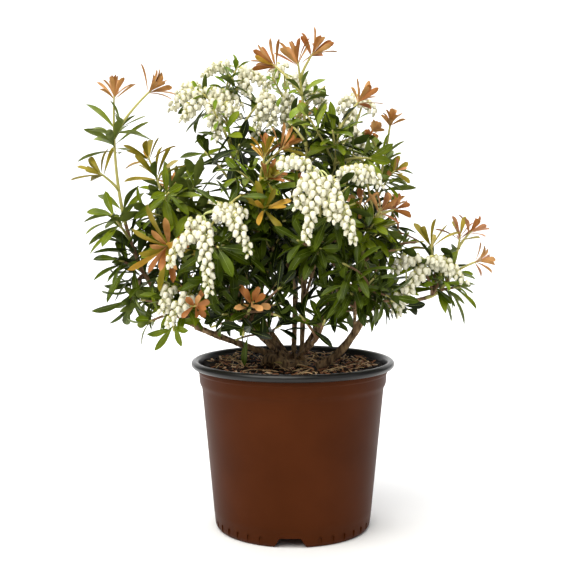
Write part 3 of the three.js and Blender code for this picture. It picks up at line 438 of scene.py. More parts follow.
def bough_curves():
    """Each bough's curve with its radius at the root and at the tip."""
    curves = {}
    for name, parent, where, x, y, z, rise, root_radius, tip_radius in BOUGHS:
        tip = np.array((x, y, z), float)
        if parent == "crown":
            angle, inside = math.radians(where), CROWN["neck"] * ROOTED["inside"]
            start = np.array((CROWN["x"] + inside * math.cos(angle),
                              CROWN["y"] + inside * math.sin(angle),
                              SOIL_TOP + CROWN["height"] * ROOTED["height"]))
        else:
            start = curves[parent][0].at(where)
        through = lerp(start, tip, BOUGH["middle"])
        through[2] = lerp(start[2], tip[2], rise)
        if parent != "crown" and where == 1:
            onwards = curves[parent][0].heading(1)
            start = start + onwards * GAP
            through = start + onwards * np.linalg.norm(tip - start) * BOUGH["sweep"]
        curves[name] = Curve(start, through, tip), root_radius, tip_radius
    return curves


def fork_place(leader, tip):
    t = FORK["highest"]
    while t > FORK["lowest"]:
        away = unit(tip - leader.at(t))
        if leader.heading(t) @ away > math.cos(math.radians(FORK["angle"])):
            return t
        t -= FORK["step"]
    return FORK["lowest"]


def side_shoot(curve, t, tip, root_radius, ends=()):
    """A shoot from a place on a curve, first partly along it and then to its own tip."""
    foot = curve.at(t)
    onwards = unit(lerp(curve.heading(t), unit(tip - foot), FORK["outward"]))
    return Shoot(foot, onwards, tip, root_radius, ends)


def skeleton(spray, bough):
    """The spray's leader with its side shoots, as the part has them."""
    random = seeded(spray["seed"])
    curve, _, tip_radius = bough
    onwards = curve.heading(1)
    (x, y, z, *ends), *others = spray["shoots"]
    leader = Shoot(curve.at(1) + onwards * GAP, onwards, (x, y, z), tip_radius, ends)
    for x, y, z, *ends in others:
        tip = np.array((x, y, z), float)
        t = fork_place(leader.curve, tip)
        leader.forks.append(side_shoot(leader.curve, t, tip, SIDE_RADIUS, ends))
    for _ in range(spray["twigs"]):
        t = TWIG["from"] + TWIG["along"] * next(random)
        out = sideways(leader.curve.heading(t), any_turn(random))
        tip = leader.curve.at(t) + out * between(TWIG["out"], random)
        tip = tip + UP * between(TWIG["up"], random)
        leader.forks.append(side_shoot(leader.curve, t, tip, SIDE_RADIUS))
    return leader


# ---------------------------------------------------------------- making meshes


def new_object(name, parts):
    """One object of all the parts, each a pair of vertices (mm) and faces."""
    vertices, faces, count = [], [], 0
    for points, part_faces in parts:
        points = np.asarray(points, float).reshape(-1, 3)
        vertices.append(points)
        faces += [[corner + count for corner in face] for face in part_faces]
        count += len(points)
    mesh = bpy.data.meshes.new(name)
    mesh.from_pydata((np.concatenate(vertices) * MM).tolist(), [], faces)
    made = bpy.data.objects.new(name, mesh)
    bpy.context.scene.collection.objects.link(made)
    return made


def mesh_piece(name, parts, material, nodes, smooth=True):
    """One piece of the dressed part, which takes the place of the nodes named."""
    made = new_object(name, parts)
    made.data.polygons.foreach_set("use_smooth", [smooth] * len(made.data.polygons))
    made.data.materials.append(MATERIALS[material])
    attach(made, "root")
    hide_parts(*nodes)
    return made


def grid_faces(rows, columns, closed):
    """Quads between neighbouring rows of points; closed joins the last column to the first."""
    row, column = np.meshgrid(np.arange(rows - 1), np.arange(columns - (not closed)), indexing="ij")
    here = row * columns + column
    beside = row * columns + (column + 1) % columns
    return np.stack([here, beside, beside + columns, here + columns], -1).reshape(-1, 4)


def tube_faces(rows, sides, cap=True):
    faces = grid_faces(rows, sides, True).tolist()
    if cap:
        faces += [list(range(sides))[::-1], list(range((rows - 1) * sides, rows * sides))]
    return faces


def many(points, faces):
    """The faces of each of many like shapes, for points shaped (shapes, rows, columns, 3)."""
    shapes, rows, columns, _ = points.shape
    offset = (np.arange(shapes) * rows * columns)[:, None, None]
    return points.reshape(-1, 3), (faces[None] + offset).reshape(-1, faces.shape[1])


def angles_round(sides):
    return np.arange(sides) * 2 * math.pi / sides


def rings_round(across, beside, sides):
    """Directions all round, from pairs of directions square to each other."""
    angle = angles_round(sides)[:, None]
    return across[..., None, :] * np.cos(angle) + beside[..., None, :] * np.sin(angle)


def frames_along(points):
    """Two directions square to a run of points, carried along it without twisting."""
    headings = unit(np.gradient(points, axis=0))
    normal = sideways(headings[0], 0.0)
    normals = []
    for heading in headings:
        normal = unit(normal - heading * (heading @ normal))
        normals.append(normal)
    normals = np.array(normals)
    return normals, np.cross(headings, normals)


def tube(points, radii, sides, cap=True):
    """A tube round a run of points, with its ends closed or left open."""
    points, radii = np.asarray(points, float), np.asarray(radii, float)
    ring = rings_round(*frames_along(points), sides)
    surface = points[:, None] + ring * radii.reshape(len(points), -1, 1)
    return surface.reshape(-1, 3), tube_faces(len(points), sides, cap)


# ---------------------------------------------------------------- leaves

# A leaf's outline: how far along, and half the width there as a share of the widest.
LEAF_ROWS = np.array([0.0, 0.07, 0.2, 0.36, 0.52, 0.66, 0.8, 0.91, 1.0])
LEAF_HALVES = np.array([0.1, 0.13, 0.38, 0.68, 0.92, 1.0, 0.84, 0.5, 0.04])
YOUNG_HALVES = np.array([0.12, 0.18, 0.4, 0.62, 0.82, 0.97, 1.0, 0.8, 0.16])
LEAF_CURL = 1.2  # above 1, a leaf bends more towards its tip
LEAF_THICK = {"most": 0.35, "from_half": 1.2}  # thinner where half the width is less than that
MIDRIB = {"half": 0.19, "root": 1.3, "tip": 0.35, "foot": 0.02, "height": 0.22, "rows": 8}
MIDDLE = 0.6  # share of a leaf's length at which it stands for the whole leaf


class Leaves:
    """Leaves of one tint: each has a root, a direction, the way its face looks, its length and
    width, and how far it bends back, folds up along its midrib and rolls over."""

    def __init__(self, halves):
        self.rows, self.halves = [], halves

    def add(self, root, along, facing, length, width, bend, fold, roll=0.0):
        along = unit(along)
        if roll:
            facing = turned(facing, along, roll)
        self.rows.append((*root, *along, *facing, length, width, bend, fold))

    def middles(self):
        data = np.array(self.rows)
        return data[:, 0:3] + data[:, 3:6] * data[:, 9:10] * MIDDLE

    def surfaces(self):
        """The midrib line, the sideways direction, the face's direction and the half widths."""
        data = np.array(self.rows)
        root, along, facing = data[:, 0:3], data[:, 3:6], data[:, 6:9]
        length, width, bend = data[:, 9], data[:, 10], data[:, 11]
        across = unit(np.cross(along, facing))
        up = np.cross(across, along)
        angle = bend[:, None] * LEAF_ROWS ** LEAF_CURL
        step = np.diff(LEAF_ROWS, prepend=0) * length[:, None]
        reach, rise = np.cumsum(step * np.cos(angle), 1), np.cumsum(-step * np.sin(angle), 1)
        line = root[:, None] + along[:, None] * reach[..., None] + up[:, None] * rise[..., None]
        face = up[:, None] * np.cos(angle)[..., None] + along[:, None] * np.sin(angle)[..., None]
        half = width[:, None] / 2 * self.halves
        return line, across, face, half

    def blades(self):
        """Thin blades: the folded upper face, and an under face that meets it at the edges."""
        line, across, face, half = self.surfaces()
        fold = np.array(self.rows)[:, 12, None, None]
        out = across[:, None] * np.cos(fold) * half[..., None]
        lift = face * np.sin(fold) * half[..., None]
        left, right = line - out + lift, line + out + lift
        thin = np.minimum(1, half / LEAF_THICK["from_half"])[..., None]
        under = line - face * LEAF_THICK["most"] * thin
        faces = grid_faces(len(LEAF_ROWS), 3, False)
        return [many(np.stack(strip, 2), faces)
                for strip in ((left, line, right), (right, under, left))]

    def midribs(self):
        """A fine raised rib along each blade."""
        line, across, face, _ = self.surfaces()
        rows = MIDRIB["rows"]
        line, face = line[:, :rows], face[:, :rows]
        narrowing = np.linspace(MIDRIB["root"], MIDRIB["tip"], rows)[None, :, None] * MIDRIB["half"]
        side, foot = across[:, None] * narrowing, face * MIDRIB["foot"]
        ring = np.stack([line - side + foot, line + face * MIDRIB["height"], line + side + foot], 2)
        return many(ring, grid_faces(rows, 3, False))


GREENS = ("deep", "dark", "mid", "bright")
TINTED = ("copper", "rust", "salmon", "amber", "olive")
foliage = {tint: Leaves(LEAF_HALVES) for tint in (*GREENS, "fresh")}
foliage.update({tint: Leaves(YOUNG_HALVES) for tint in TINTED})
GREEN = {"length": (35, 48), "width": (8.8, 12), "lean": (36, 92), "bend": (0.05, 0.6),
         "fold": (0.2, 0.5), "spread": (17, 28), "count": (10, 4), "turn": 0.5, "stray_lean": 24,
         "droop": 0.1, "facing_up": 0.5, "roll": 1.1, "upper_length": 0.72, "narrower": 0.7,
         "root": 0.8}
# Whorls are darker below the middle height and near the axis, and paler above and outside: this
# is painted shade and painted light by where a whorl stands in the crown, on top of a random share
# and the older whorls' own darker green. They are dark from one shade on, and this year's green
# from the next, which is lowest in a shoot's top whorl.
SHADE = {"middle": 345, "over": 250, "outside": 100, "by_reach": 0.8, "most": 0.4, "dark": 0.1,
         "fresh_below": 0.95, "fresh_on_bright": 0.3, "fresh_on_others": 0.5}
YOUNG = {
    "copper": {"leaves": 14, "length": (15, 23), "width": (5, 7.2), "lean": (4, 58)},
    "olive": {"leaves": 8, "length": (22, 34), "width": (6.4, 8.4), "lean": (18, 74)},
    "large": {"leaves": 17, "length": (20, 40), "width": (6.5, 9), "lean": (4, 64)},
    "open": {"leaves": 9, "length": (15, 25), "width": (6, 8.2), "lean": (10, 78)},
}
YOUNG_FORM = {"bend": (0.1, 0.6), "fold": (0.25, 0.5), "turn": 0.4, "stray_lean": 14, "roll": 1.5,
              "inner_length": 0.3, "size": (0.85, 0.3), "depth": 5, "root": 0.6}
LOWEST_LEAF = 0.02  # share of a shoot below which it bears none


def leaning(heading, out, lean):
    """The direction and the facing of a leaf that leans out from its stem."""
    along = heading * math.cos(lean) + out * math.sin(lean)
    return along, heading * math.sin(lean) - out * math.cos(lean)


def green_whorl(shoot, down, random, tint, count, spread, size):
    """A whorl: its leaves spiral down the stem, the upper ones shorter and more upright."""
    turn = any_turn(random)
    for k in range(count):
        low = k / (count - 1)
        t = 1 - (down + spread * low) / shoot.span
        if t < LOWEST_LEAF:
            return
        heading = shoot.curve.heading(t)
        out = sideways(heading, turn + k * GOLDEN_ANGLE + stray(random, GREEN["turn"]))
        lean = math.radians(lerp(*GREEN["lean"], low) + stray(random, GREEN["stray_lean"]))
        along, facing = leaning(heading, out, lean)
        shorter = GREEN["upper_length"] + (1 - GREEN["upper_length"]) * min(1, 2 * low)
        length = size * between(GREEN["length"], random) * shorter
        width = size ** GREEN["narrower"] * between(GREEN["width"], random)
        foliage[tint].add(
            shoot.curve.at(t) + out * GREEN["root"] * shoot.radius(t), along - UP * GREEN["droop"],
            facing + UP * GREEN["facing_up"], length, width, between(GREEN["bend"], random),
            between(GREEN["fold"], random), stray(random, GREEN["roll"]))


def young_rosette(shoot, random, tints, size):
    """This year's coloured growth: narrow leaves, the inner ones upright, the outer spreading."""
    kind, form = YOUNG[shoot.ends], YOUNG_FORM
    turn = any_turn(random)
    count = kind["leaves"]
    for k in range(count):
        outer = (k + 0.5) / count
        t = 1 - (1 + form["depth"] * outer) / shoot.span
        heading = shoot.curve.heading(t)
        out = sideways(heading, turn + k * GOLDEN_ANGLE + stray(random, form["turn"]))
        lean = math.radians(lerp(*kind["lean"], outer) + stray(random, form["stray_lean"]))
        least, more = form["size"]
        length = size * lerp(*kind["length"], min(1, form["inner_length"] + outer))
        length *= least + more * next(random)
        foliage[tints[int(next(random) * len(tints))]].add(
            shoot.curve.at(t) + out * shoot.radius(t) * form["root"], *leaning(heading, out, lean),
            length, between(kind["width"], random), between(form["bend"], random),
            between(form["fold"], random), stray(random, form["roll"]))


def first_whorl(shoot):
    return shoot.size if shoot.ends in YOUNG else FIRST_WHORL[shoot.ends]


def dress(shoot, random, green, tints, whorls=None, larger=1.0, size=1.0, even=False):
    """Young growth at the tip, then whorls down the shoot: one a year, or as far below the tip
    as whorls says."""
    if shoot.ends in YOUNG:
        young_rosette(shoot, random, tints, larger)
    if whorls is None:
        whorls = np.arange(first_whorl(shoot), shoot.span - WHORL_ABOVE_FOOT, YEAR)
    for year, down in enumerate(whorls):
        x, y, height = shoot.curve.at(1 - down / shoot.span)
        # Painted shade below the middle height and near the axis, painted light above and outside;
        # the random share is the leaves' own variation.
        shade = next(random) + (height - SHADE["middle"]) / SHADE["over"]
        shade += SHADE["by_reach"] * min(SHADE["most"], math.hypot(x, y) / SHADE["outside"] - 1)
        fresh = "fresh_on_bright" if green == "bright" else "fresh_on_others"
        tint = "dark" if shade > SHADE["dark"] else "deep"
        if shade > SHADE["fresh_below" if year else fresh] or even:
            tint = green
        least, more = GREEN["count"]
        count, spread = least + int(more * next(random)), between(GREEN["spread"], random)
        green_whorl(shoot, down, random, tint, count, spread, size)


def fine_twigs(curve, random, count, where):
    """Short leafy twigs from a stem, one growth finer than the part's."""
    made = []
    for _ in range(count):
        t = between(where, random)
        out = sideways(curve.heading(t), any_turn(random))
        tip = curve.at(t) + out * between(FINER["reach"], random)
        tip = tip + UP * between(FINER["up"], random)
        tip = tip + curve.heading(t) * FINER["onwards"] * next(random)
        made.append(side_shoot(curve, t, tip, TWIG_RADIUS))
    return made


# ---------------------------------------------------------------- materials


def linear(colour):
    return [c / 12.92 if c <= 0.04045 else ((c + 0.055) / 1.055) ** 2.4
            for c in (channel / 255 for channel in colour)] + [1.0]


def surface(name, low, high, grain, roughness, bump=0.0, bump_grain=None, specular=0.5,
            stretch=(1, 1, 1), contrast=(0.3, 0.7), detail=4.0):
    """A surface whose colour runs from low to high in a noise of so many grains to the metre."""
    material = bpy.data.materials.new(name)
    material.use_nodes = True
    nodes, links = material.node_tree.nodes, material.node_tree.links
    shader = nodes["Principled BSDF"]
    place = nodes.new("ShaderNodeTexCoord")
    mapping = nodes.new("ShaderNodeMapping")
    mapping.inputs["Scale"].default_value = stretch
    links.new(place.outputs["Object"], mapping.inputs["Vector"])

    def pattern(grains, fineness):
        made = nodes.new("ShaderNodeTexNoise")
        made.inputs["Scale"].default_value = grains
        made.inputs["Detail"].default_value = fineness
        links.new(mapping.outputs["Vector"], made.inputs["Vector"])
        return made.outputs["Fac"]

    ramp = nodes.new("ShaderNodeValToRGB")
    for element, position, colour in zip(ramp.color_ramp.elements, contrast, (low, high)):
        element.position, element.color = position, linear(colour)
    links.new(pattern(grain, detail), ramp.inputs["Fac"])
    links.new(ramp.outputs["Color"], shader.inputs["Base Color"])
    if bump:
        relief = nodes.new("ShaderNodeBump")
        relief.inputs["Strength"].default_value = 0.6
        relief.inputs["Distance"].default_value = bump * MM
        links.new(pattern(bump_grain, 3.0), relief.inputs["Height"])
        links.new(relief.outputs["Normal"], shader.inputs["Normal"])
    shader.inputs["Roughness"].default_value = roughness
    shader.inputs["Specular IOR Level"].default_value = specular
    return material


STREAKED = (1, 1, 0.3)  # a noise drawn out upwards
# Each surface's colours (0 to 255), grain and roughness, then as surface() takes the rest.
SURFACES = {
    "brown_plastic": ((66, 28, 3), (76, 34, 7), 14, 0.45, 0.12, 420, 0.06),
    "black_plastic": ((13, 12, 11), (22, 21, 19), 20, 0.3, 0.08, 500, 0.36),
    # The fines are near black: partly their own dark colour, partly painted shade in the gaps
    # between the chips.
    "shaded_soil_fines": ((4, 2, 0), (28, 17, 9), 240, 0.95, 1.2, 420, 0.2),
    "dark_chips": ((16, 8, 3), (56, 35, 19), 300, 0.85, 0.5, 900, 0.2),
    "brown_chips": ((108, 66, 38), (168, 112, 72), 300, 0.85, 0.5, 900),
    "tan_chips": ((190, 150, 108), (240, 208, 168), 300, 0.8, 0.4, 900),
    "straw": ((190, 150, 100), (240, 208, 160), 200, 0.7, 0.2, 900),
    "bark": ((62, 42, 24), (172, 142, 104), 260, 0.85, 0.9, 500, 0.25, STREAKED, (0.34, 0.66)),
    "brown_twigs": ((104, 74, 50), (150, 116, 80), 160, 0.7, 0.4, 600, 0.5, STREAKED),
    "green_stems": ((162, 158, 78), (204, 194, 118), 50, 0.5, 0.15, 500, 0.5, STREAKED),
    "raceme_stalks": ((176, 186, 112), (212, 214, 150), 60, 0.5, 0.1, 500),
    "bells": ((226, 222, 194), (244, 241, 220), 120, 0.42, 0.1, 400),
    "calyxes": ((164, 162, 72), (206, 198, 112), 120, 0.5, 0.1, 500),
    "midrib": ((110, 128, 56), (150, 164, 86), 60, 0.5, 0.1, 500),
}
# Leaves share their grain and gloss: two colours and the roughness of each.
LEAF_GRAIN, LEAF_RELIEF = 45, (0.15, 260, 0.14, (1, 1, 1), (0.35, 0.65), 2.0)
LEAF_COLOURS = {
    # The greens deep, dark, mid and bright are one leaf green darker or paler: deep and dark carry
    # painted shade for whorls low in or inside the crown, as well as older leaves' own darker
    # green, and mid and bright partly carry painted light on the upper and outer whorls; the shaded
    # underside goes with deep and dark.
    "deep_leaf": ((14, 23, 0), (32, 44, 2), 0.36),
    "dark_leaf": ((46, 60, 3), (82, 98, 13), 0.36),
    "mid_leaf": ((80, 97, 4), (120, 133, 22), 0.36),
    "bright_leaf": ((100, 126, 12), (146, 162, 38), 0.36),
    "fresh_leaf": ((92, 120, 16), (142, 162, 46), 0.36),
    "copper_leaf": ((160, 112, 58), (212, 160, 102), 0.36),
    "rust_leaf": ((142, 88, 42), (188, 126, 72), 0.36),
    "salmon_leaf": ((160, 104, 64), (208, 152, 110), 0.36),
    "amber_leaf": ((168, 126, 36), (206, 162, 64), 0.36),
    "olive_leaf": ((122, 112, 26), (166, 148, 54), 0.36),
    "leaf_underside": ((84, 98, 36), (116, 128, 58), 0.55),
    "shaded_underside": ((44, 56, 14), (72, 86, 30), 0.55),
}
for name, (low, high, roughness) in LEAF_COLOURS.items():
    SURFACES[name] = low, high, LEAF_GRAIN, roughness, *LEAF_RELIEF
MATERIALS = {name: surface(name, *look) for name, look in SURFACES.items()}

# ---------------------------------------------------------------- the pot

POT_STEPS = 288  # sides of the round pot
NOTCHES = 4
NOTCH = {"width": 35, "taper": 6, "height": 11, "round": 2, "turn": -2}
FLUTES_BETWEEN_NOTCHES = 6
FLUTE = {"first": 21, "pitch": 9.6, "width": 4.6, "height": 11.5, "depth": 1.4}
CUT_BELOW = 2  # how far the cutters reach below the pot
LIP_ARC = (-115, 172, 20)  # the rolled lip's section: its first and last bearing, its points
SHARP = {"body": 32, "lip": 40}  # edges sharper than this angle aren't smoothed


def lathe(profile, sides=POT_STEPS):
    """A closed ring of a closed section, the points (radius, z) anticlockwise seen with z up."""
    profile = np.asarray(profile, float)
    angle = angles_round(sides)
    around = np.stack([np.cos(angle), np.sin(angle)], -1)
    flat = profile[:, None, :1] * around[None]
    height = np.broadcast_to(profile[:, None, 1:], (len(profile), sides, 1))
    points = np.concatenate([flat, height], -1).reshape(-1, 3)
    last = (len(profile) - 1) * sides
    faces = tube_faces(len(profile), sides, False)
    faces += [[last + k, last + (k + 1) % sides, (k + 1) % sides, k] for k in range(sides)]
    return points, faces


def rounded(profile, corner, radius, steps=4):
    """The section with one corner rounded off."""
    before, at, after = (np.array(profile[corner + k], float) for k in (-1, 0, 1))
    start = at + unit(before - at) * radius
    end = at + unit(after - at) * radius
    bend = [tuple(Curve(start, at, end).at(t)) for t in np.linspace(0, 1, steps + 1)]
    return profile[:corner] + bend + profile[corner + 1:]


def wall_radius(z):
    share = (z - 4) / (COLLAR_FOOT - 4 - 4)
    return lerp(WALL_FOOT_RADIUS, WALL_TOP_RADIUS, share)


def prism(outline, near, far, bearing):
    """A block across the wall: an outline of (sideways, z) drawn out from one radius to another."""
    outline = np.asarray(outline, float)
    n = len(outline)
    points = np.concatenate([np.stack([outline[:, 0], np.full(n, -radius), outline[:, 1]], -1)
                             for radius in (near, far)])
    turn = np.array(Matrix.Rotation(bearing, 3, "Z"))
    return points @ turn.T, tube_faces(2, n)


def with_modifier(made, kind, **settings):
    """Applies one modifier to an object's mesh."""
    modifier = made.modifiers.new("step", kind)
    for key, value in settings.items():
        setattr(modifier, key, value)
    evaluated = made.evaluated_get(bpy.context.evaluated_depsgraph_get())
    mesh = bpy.data.meshes.new_from_object(evaluated)
    made.modifiers.clear()
    made.data = mesh


def notch_outline():
    half, taper, height = NOTCH["width"] / 2, NOTCH["taper"], NOTCH["height"]
    outline = [(-half, -CUT_BELOW), (half, -CUT_BELOW), (half - 0.4, 1), (half - taper, height),
               (taper - half, height), (0.4 - half, 1)]
    return rounded(rounded(outline, 4, NOTCH["round"]), 3, NOTCH["round"])


def flute_outline():
    half, top = FLUTE["width"] / 2, FLUTE["height"] - FLUTE["width"] / 2
    arch = [(half * math.cos(a), top + half * math.sin(a)) for a in np.linspace(0, math.pi, 9)]
    return [(-half, -CUT_BELOW), (half, -CUT_BELOW), *arch]


def pot_section():
    foot, step = WALL_FOOT_RADIUS - 3, RIM_TOP - LIP_THICK + 0.6
    section = [
        (foot - FOOT_RING, 0), (foot, 0), (WALL_FOOT_RADIUS, 4), (wall_radius(18), 18),
        (wall_radius(18) + 0.25, 18.6), (wall_radius(24) + 0.1, 24),
        (WALL_TOP_RADIUS, COLLAR_FOOT - 4), (COLLAR_RADIUS - 1.6, COLLAR_FOOT),
        (COLLAR_RADIUS - 0.9, COLLAR_STEP), (COLLAR_RADIUS, COLLAR_STEP + 1),
        (COLLAR_RADIUS, step), (COLLAR_RADIUS - WALL, step),
        (COLLAR_RADIUS - WALL - 1.6, COLLAR_FOOT - 1), (WALL_TOP_RADIUS - WALL, COLLAR_FOOT - 5),
        (wall_radius(13) - WALL, FLOOR_UNDER + WALL), (HUB_RADIUS, FLOOR_UNDER + WALL),
        (0.5, FLOOR_UNDER + WALL), (0.5, 0.2), (HUB_RADIUS - 2, 0.2), (HUB_RADIUS, FLOOR_UNDER),
        (foot - FOOT_RING - 1, FLOOR_UNDER),
    ]
    for corner, radius in ((9, 0.5), (8, 0.8), (7, 2.5), (6, 3), (2, 2), (1, 1)):
        section = rounded(section, corner, radius, 3)
    return section


def pot():
    body = mesh_piece("pot_body", [lathe(pot_section())], "brown_plastic", ("pot",))
    cutters = []
    for n in range(NOTCHES):
        quarter = n * 2 * math.pi / NOTCHES + math.radians(NOTCH["turn"])
        inside, outside = WALL_FOOT_RADIUS - 3 - FOOT_RING - 4, WALL_FOOT_RADIUS + 6
        cutters.append(prism(notch_outline(), inside, outside, quarter))
        for k in range(FLUTES_BETWEEN_NOTCHES):
            turn = quarter + math.radians(FLUTE["first"] + k * FLUTE["pitch"])
            deep = WALL_FOOT_RADIUS + 0.5 - FLUTE["depth"]
            cutters.append(prism(flute_outline(), deep, outside, turn))
    cutter = new_object("cutter", cutters)
    with_modifier(body, "BOOLEAN", object=cutter, operation="DIFFERENCE", solver="EXACT")
    bpy.data.objects.remove(cutter)
    body.data.set_sharp_from_angle(angle=math.radians(SHARP["body"]))

    half = LIP_THICK / 2
    lip = [(RIM_RADIUS - half + half * math.cos(a), RIM_TOP - half + half * math.sin(a))
           for a in np.radians(np.linspace(*LIP_ARC))]
    lining = COLLAR_RADIUS - WALL - 0.2
    lip += [(lining - 0.6, RIM_TOP - LIP_THICK), (lining - 2.2, COLLAR_FOOT + 1),
            (lining - 1.7, COLLAR_FOOT + 1), (lining, RIM_TOP - LIP_THICK + 0.3)]
    rim = mesh_piece("pot_lip", [lathe(lip)], "black_plastic", ("pot",))
    rim.data.set_sharp_from_angle(angle=math.radians(SHARP["lip"]))


# ---------------------------------------------------------------- the potting mix

CHIPS = {"dark_chips": 480, "brown_chips": 340, "tan_chips": 150}
CHIP = {"length": (3, 13), "width": (1.6, 4.8), "thick": (0.8, 2.4), "rough": (0.75, 1.2),
        "sides": 5, "from_wall": 5, "tilt": 0.9, "shorter": 1.6}
CHIP_ENDS = ((-0.5, 0.45), (-0.2, 1.0), (0.2, 0.95), (0.5, 0.35))  # where along, how wide there
STRAW = {"count": 110, "half": (5, 15), "lift": (1, 7), "radius": (0.25, 0.6), "from_wall": 14}
SOIL_STEPS = (40, 96)  # rings and sides of the mix's top
SOIL_FOOT = COLLAR_FOOT - 9  # where the mix's side ends, out of sight
# The mix's surface: level near the crown, then low waves of so many radians to the millimetre.
SOIL = {"level_to": CROWN["flare"] + 8, "sunk": 0.6, "lump": 1.6, "waves": (0.11, 0.05, 0.13, 0.04),
        "tilt": (0.3, 0.2), "grain": 0.12, "crumb": 1.3}
MIX_SEED = 401


def soil_height(x, y):
    """The mix's level: it rises to the wall, most at the left and the back, and is lumpy."""
    flat, (right, back), (a, b, c, d) = SOIL["level_to"], SOIL["tilt"], SOIL["waves"]
    reach, edge = math.hypot(x, y), wall_radius(COLLAR_FOOT - 7) - WALL - GAP
    out = max(0.0, (reach - flat) / (edge - flat))
    lumps = SOIL["lump"] * math.sin(x * a + y * b) * math.cos(y * c - x * d)
    rise = SOIL_EDGE_RISE * out * (1 - (right * x - back * y) / edge)
    fine = noise.fractal(Vector((x, y, 0)) * SOIL["grain"], 1.0, 2.0, 4) * SOIL["crumb"]
    return SOIL_TOP + lumps * min(1, 3 * out) * (1 - 0.3 * out) + rise + fine - SOIL["sunk"]


def soil_point(turn, reach):
    x, y = reach * math.cos(turn), reach * math.sin(turn)
    return np.array((x, y, soil_height(x, y)))


def soil_spot(random, inside):
    turn = any_turn(random)
    return soil_point(turn, inside * math.sqrt(next(random)))


def random_way(random):
    """A direction to any side, mostly level."""
    turn = any_turn(random)
    return unit(np.array((math.cos(turn), math.sin(turn), stray(random, 0.9))))


def chip(centre, random):
    """A split flake of bark: a rough five-sided slab, thinner at its ends."""
    along = random_way(random)
    across = unit(np.cross(along, UP) + UP * CHIP["tilt"] * stray(random))
    up = np.cross(across, along)
    length = lerp(*CHIP["length"], next(random) ** CHIP["shorter"])
    width, thick = between(CHIP["width"], random), between(CHIP["thick"], random)
    points, sides = [], CHIP["sides"]
    for t, share in CHIP_ENDS:
        middle = centre + along * (t * length)
        for side in range(sides):
            turn = side * 2 * math.pi / sides
            rough = share * between(CHIP["rough"], random)
            points.append(middle + rough * (across * math.cos(turn) * width / 2
                                            + up * math.sin(turn) * thick / 2))
    return np.array(points), tube_faces(len(CHIP_ENDS), sides)


def potting_mix():
    rings, sides = SOIL_STEPS
    inside = wall_radius(COLLAR_FOOT - 7) - WALL + 1
    top = [soil_point((k + 0.5 * (i % 2)) * 2 * math.pi / sides,
                      max(0.5, inside * i / (rings - 1)))
           for i in range(rings) for k in range(sides)]
    foot = [(*p[:2], SOIL_FOOT) for p in top[-sides:]]
    faces = grid_faces(rings + 1, sides, True)[:, ::-1].tolist()
    last = len(top)
    faces += [[last + (k + 1) % sides, last + k, last + sides] for k in range(sides)]
    faces += [list(range(sides))]
    # The mix's top shows between the chips, with painted shade in its colour.
    mesh_piece("mix_top", [(np.array([*top, *foot, (0, 0, SOIL_FOOT)]), faces)], "shaded_soil_fines",
               ("potting_mix",))
    random = seeded(MIX_SEED)
    for name, count in CHIPS.items():
        chips = []
        while len(chips) < count:
            spot = soil_spot(random, inside - CHIP["from_wall"])
            if math.hypot(spot[0] - CROWN["x"], spot[1] - CROWN["y"]) > CROWN["flare"] - 4:
                chips.append(chip(spot + UP * lerp(-0.4, 1.6, next(random)), random))
        mesh_piece(name, chips, name, ("potting_mix",), smooth=False)
    straws = []
    for _ in range(STRAW["count"]):
        spot = soil_spot(random, inside - STRAW["from_wall"])
        along = random_way(random)
        reach = along * between(STRAW["half"], random)
        lift = UP * lerp(*STRAW["lift"], next(random) ** 2)
        bend = Curve(spot - reach + UP, spot + lift, spot + reach + UP + lift * next(random))
        radius = between(STRAW["radius"], random)
        straws.append(tube(bend.at(np.linspace(0, 1, 6)), np.full(6, radius), 4))
    mesh_piece("straws", straws, "straw", ("potting_mix",))


# ---------------------------------------------------------------- bark

BARK_VOXEL = 1.1
BARK_RELIEF = 0.45  # depth of the bark's ridges
BARK_GRAIN = (0.35, 0.35, 0.1)  # of the ridges, to the millimetre: they run upwards
WOBBLE = {"share": 0.07, "waves": 23, "shift": 9}  # of a limb's radius along it
LIMB_SIDES = 12
# The mound's section: radius as a share of the flare or the neck, and height above the mix.
MOUND = (("flare", 0.72, 1), ("flare", 0.7, 1.4), ("flare", 0.58, 2.4), ("neck", 0.8, 4),
         ("neck", 0.5, 5.5))
LOBES = ((3, 0.13, 1), (5, 0.07, 0))  # how many round the mound, how deep, turned how far
FLARED = {"out": 1.4, "wide": 1.3}  # a stem's foot: its distance from the middle, its radius
SLIMMER = {"right_stem": 0.85, "low_left_stem": 0.8, "others": 0.6}  # than the part, at the root
RIGHT_FOOT = (26, -26, SOIL_TOP + 4)  # the thick right stem's, in front of the others
RIGHT_BEND = (8, 0, -3)  # how much farther out it bends than the part's


def crown_parts(curves):
    """The foot of the plant: a low lobed mound, its knuckled root, and a flared foot below each
    stem but the right one, so that the stems rise apart from the mix."""
    x, y, base = CROWN["x"], CROWN["y"], SOIL_TOP + GAP
    slope = [(CROWN[of] * share, base + height) for of, share, height in MOUND]
    points, faces = lathe([(0.5, base + 1), *slope, (0.5, base + 6.5)], 48)
    bearing = np.arctan2(points[:, 1], points[:, 0])
    lobe = 1 + sum(share * np.cos(lobes * bearing + turn) for lobes, share, turn in LOBES)
    points[:, 0] = points[:, 0] * lobe + x
    points[:, 1] = points[:, 1] * lobe + y
    t = np.linspace(0, 1, 18)
    arch = Curve(KNUCKLE["from"], KNUCKLE["over"] - UP * 9, KNUCKLE["to"]).at(t)
    arch[:, 2] = np.maximum(arch[:, 2], base + 1)
    parts = [(points, faces), tube(arch, KNUCKLE["radius"] - 1.8 + 0.9 * np.sin(t * 9), 14)]
    for name, parent, *_ in BOUGHS:
        if parent == "crown" and name != "right_stem":
            curve, radius, _ = curves[name]
            radius *= SLIMMER.get(name, SLIMMER["others"])
            start = curve.at(0)
            out = (start - (x, y, start[2])) * FLARED["out"]
            foot = Curve(start + curve.heading(0) * 4, start, (x + out[0], y + out[1], base + 1))
            wide = lerp(radius, radius * FLARED["wide"], t ** 2)
            parts.append(tube(foot.at(t), wide, LIMB_SIDES))
    return parts


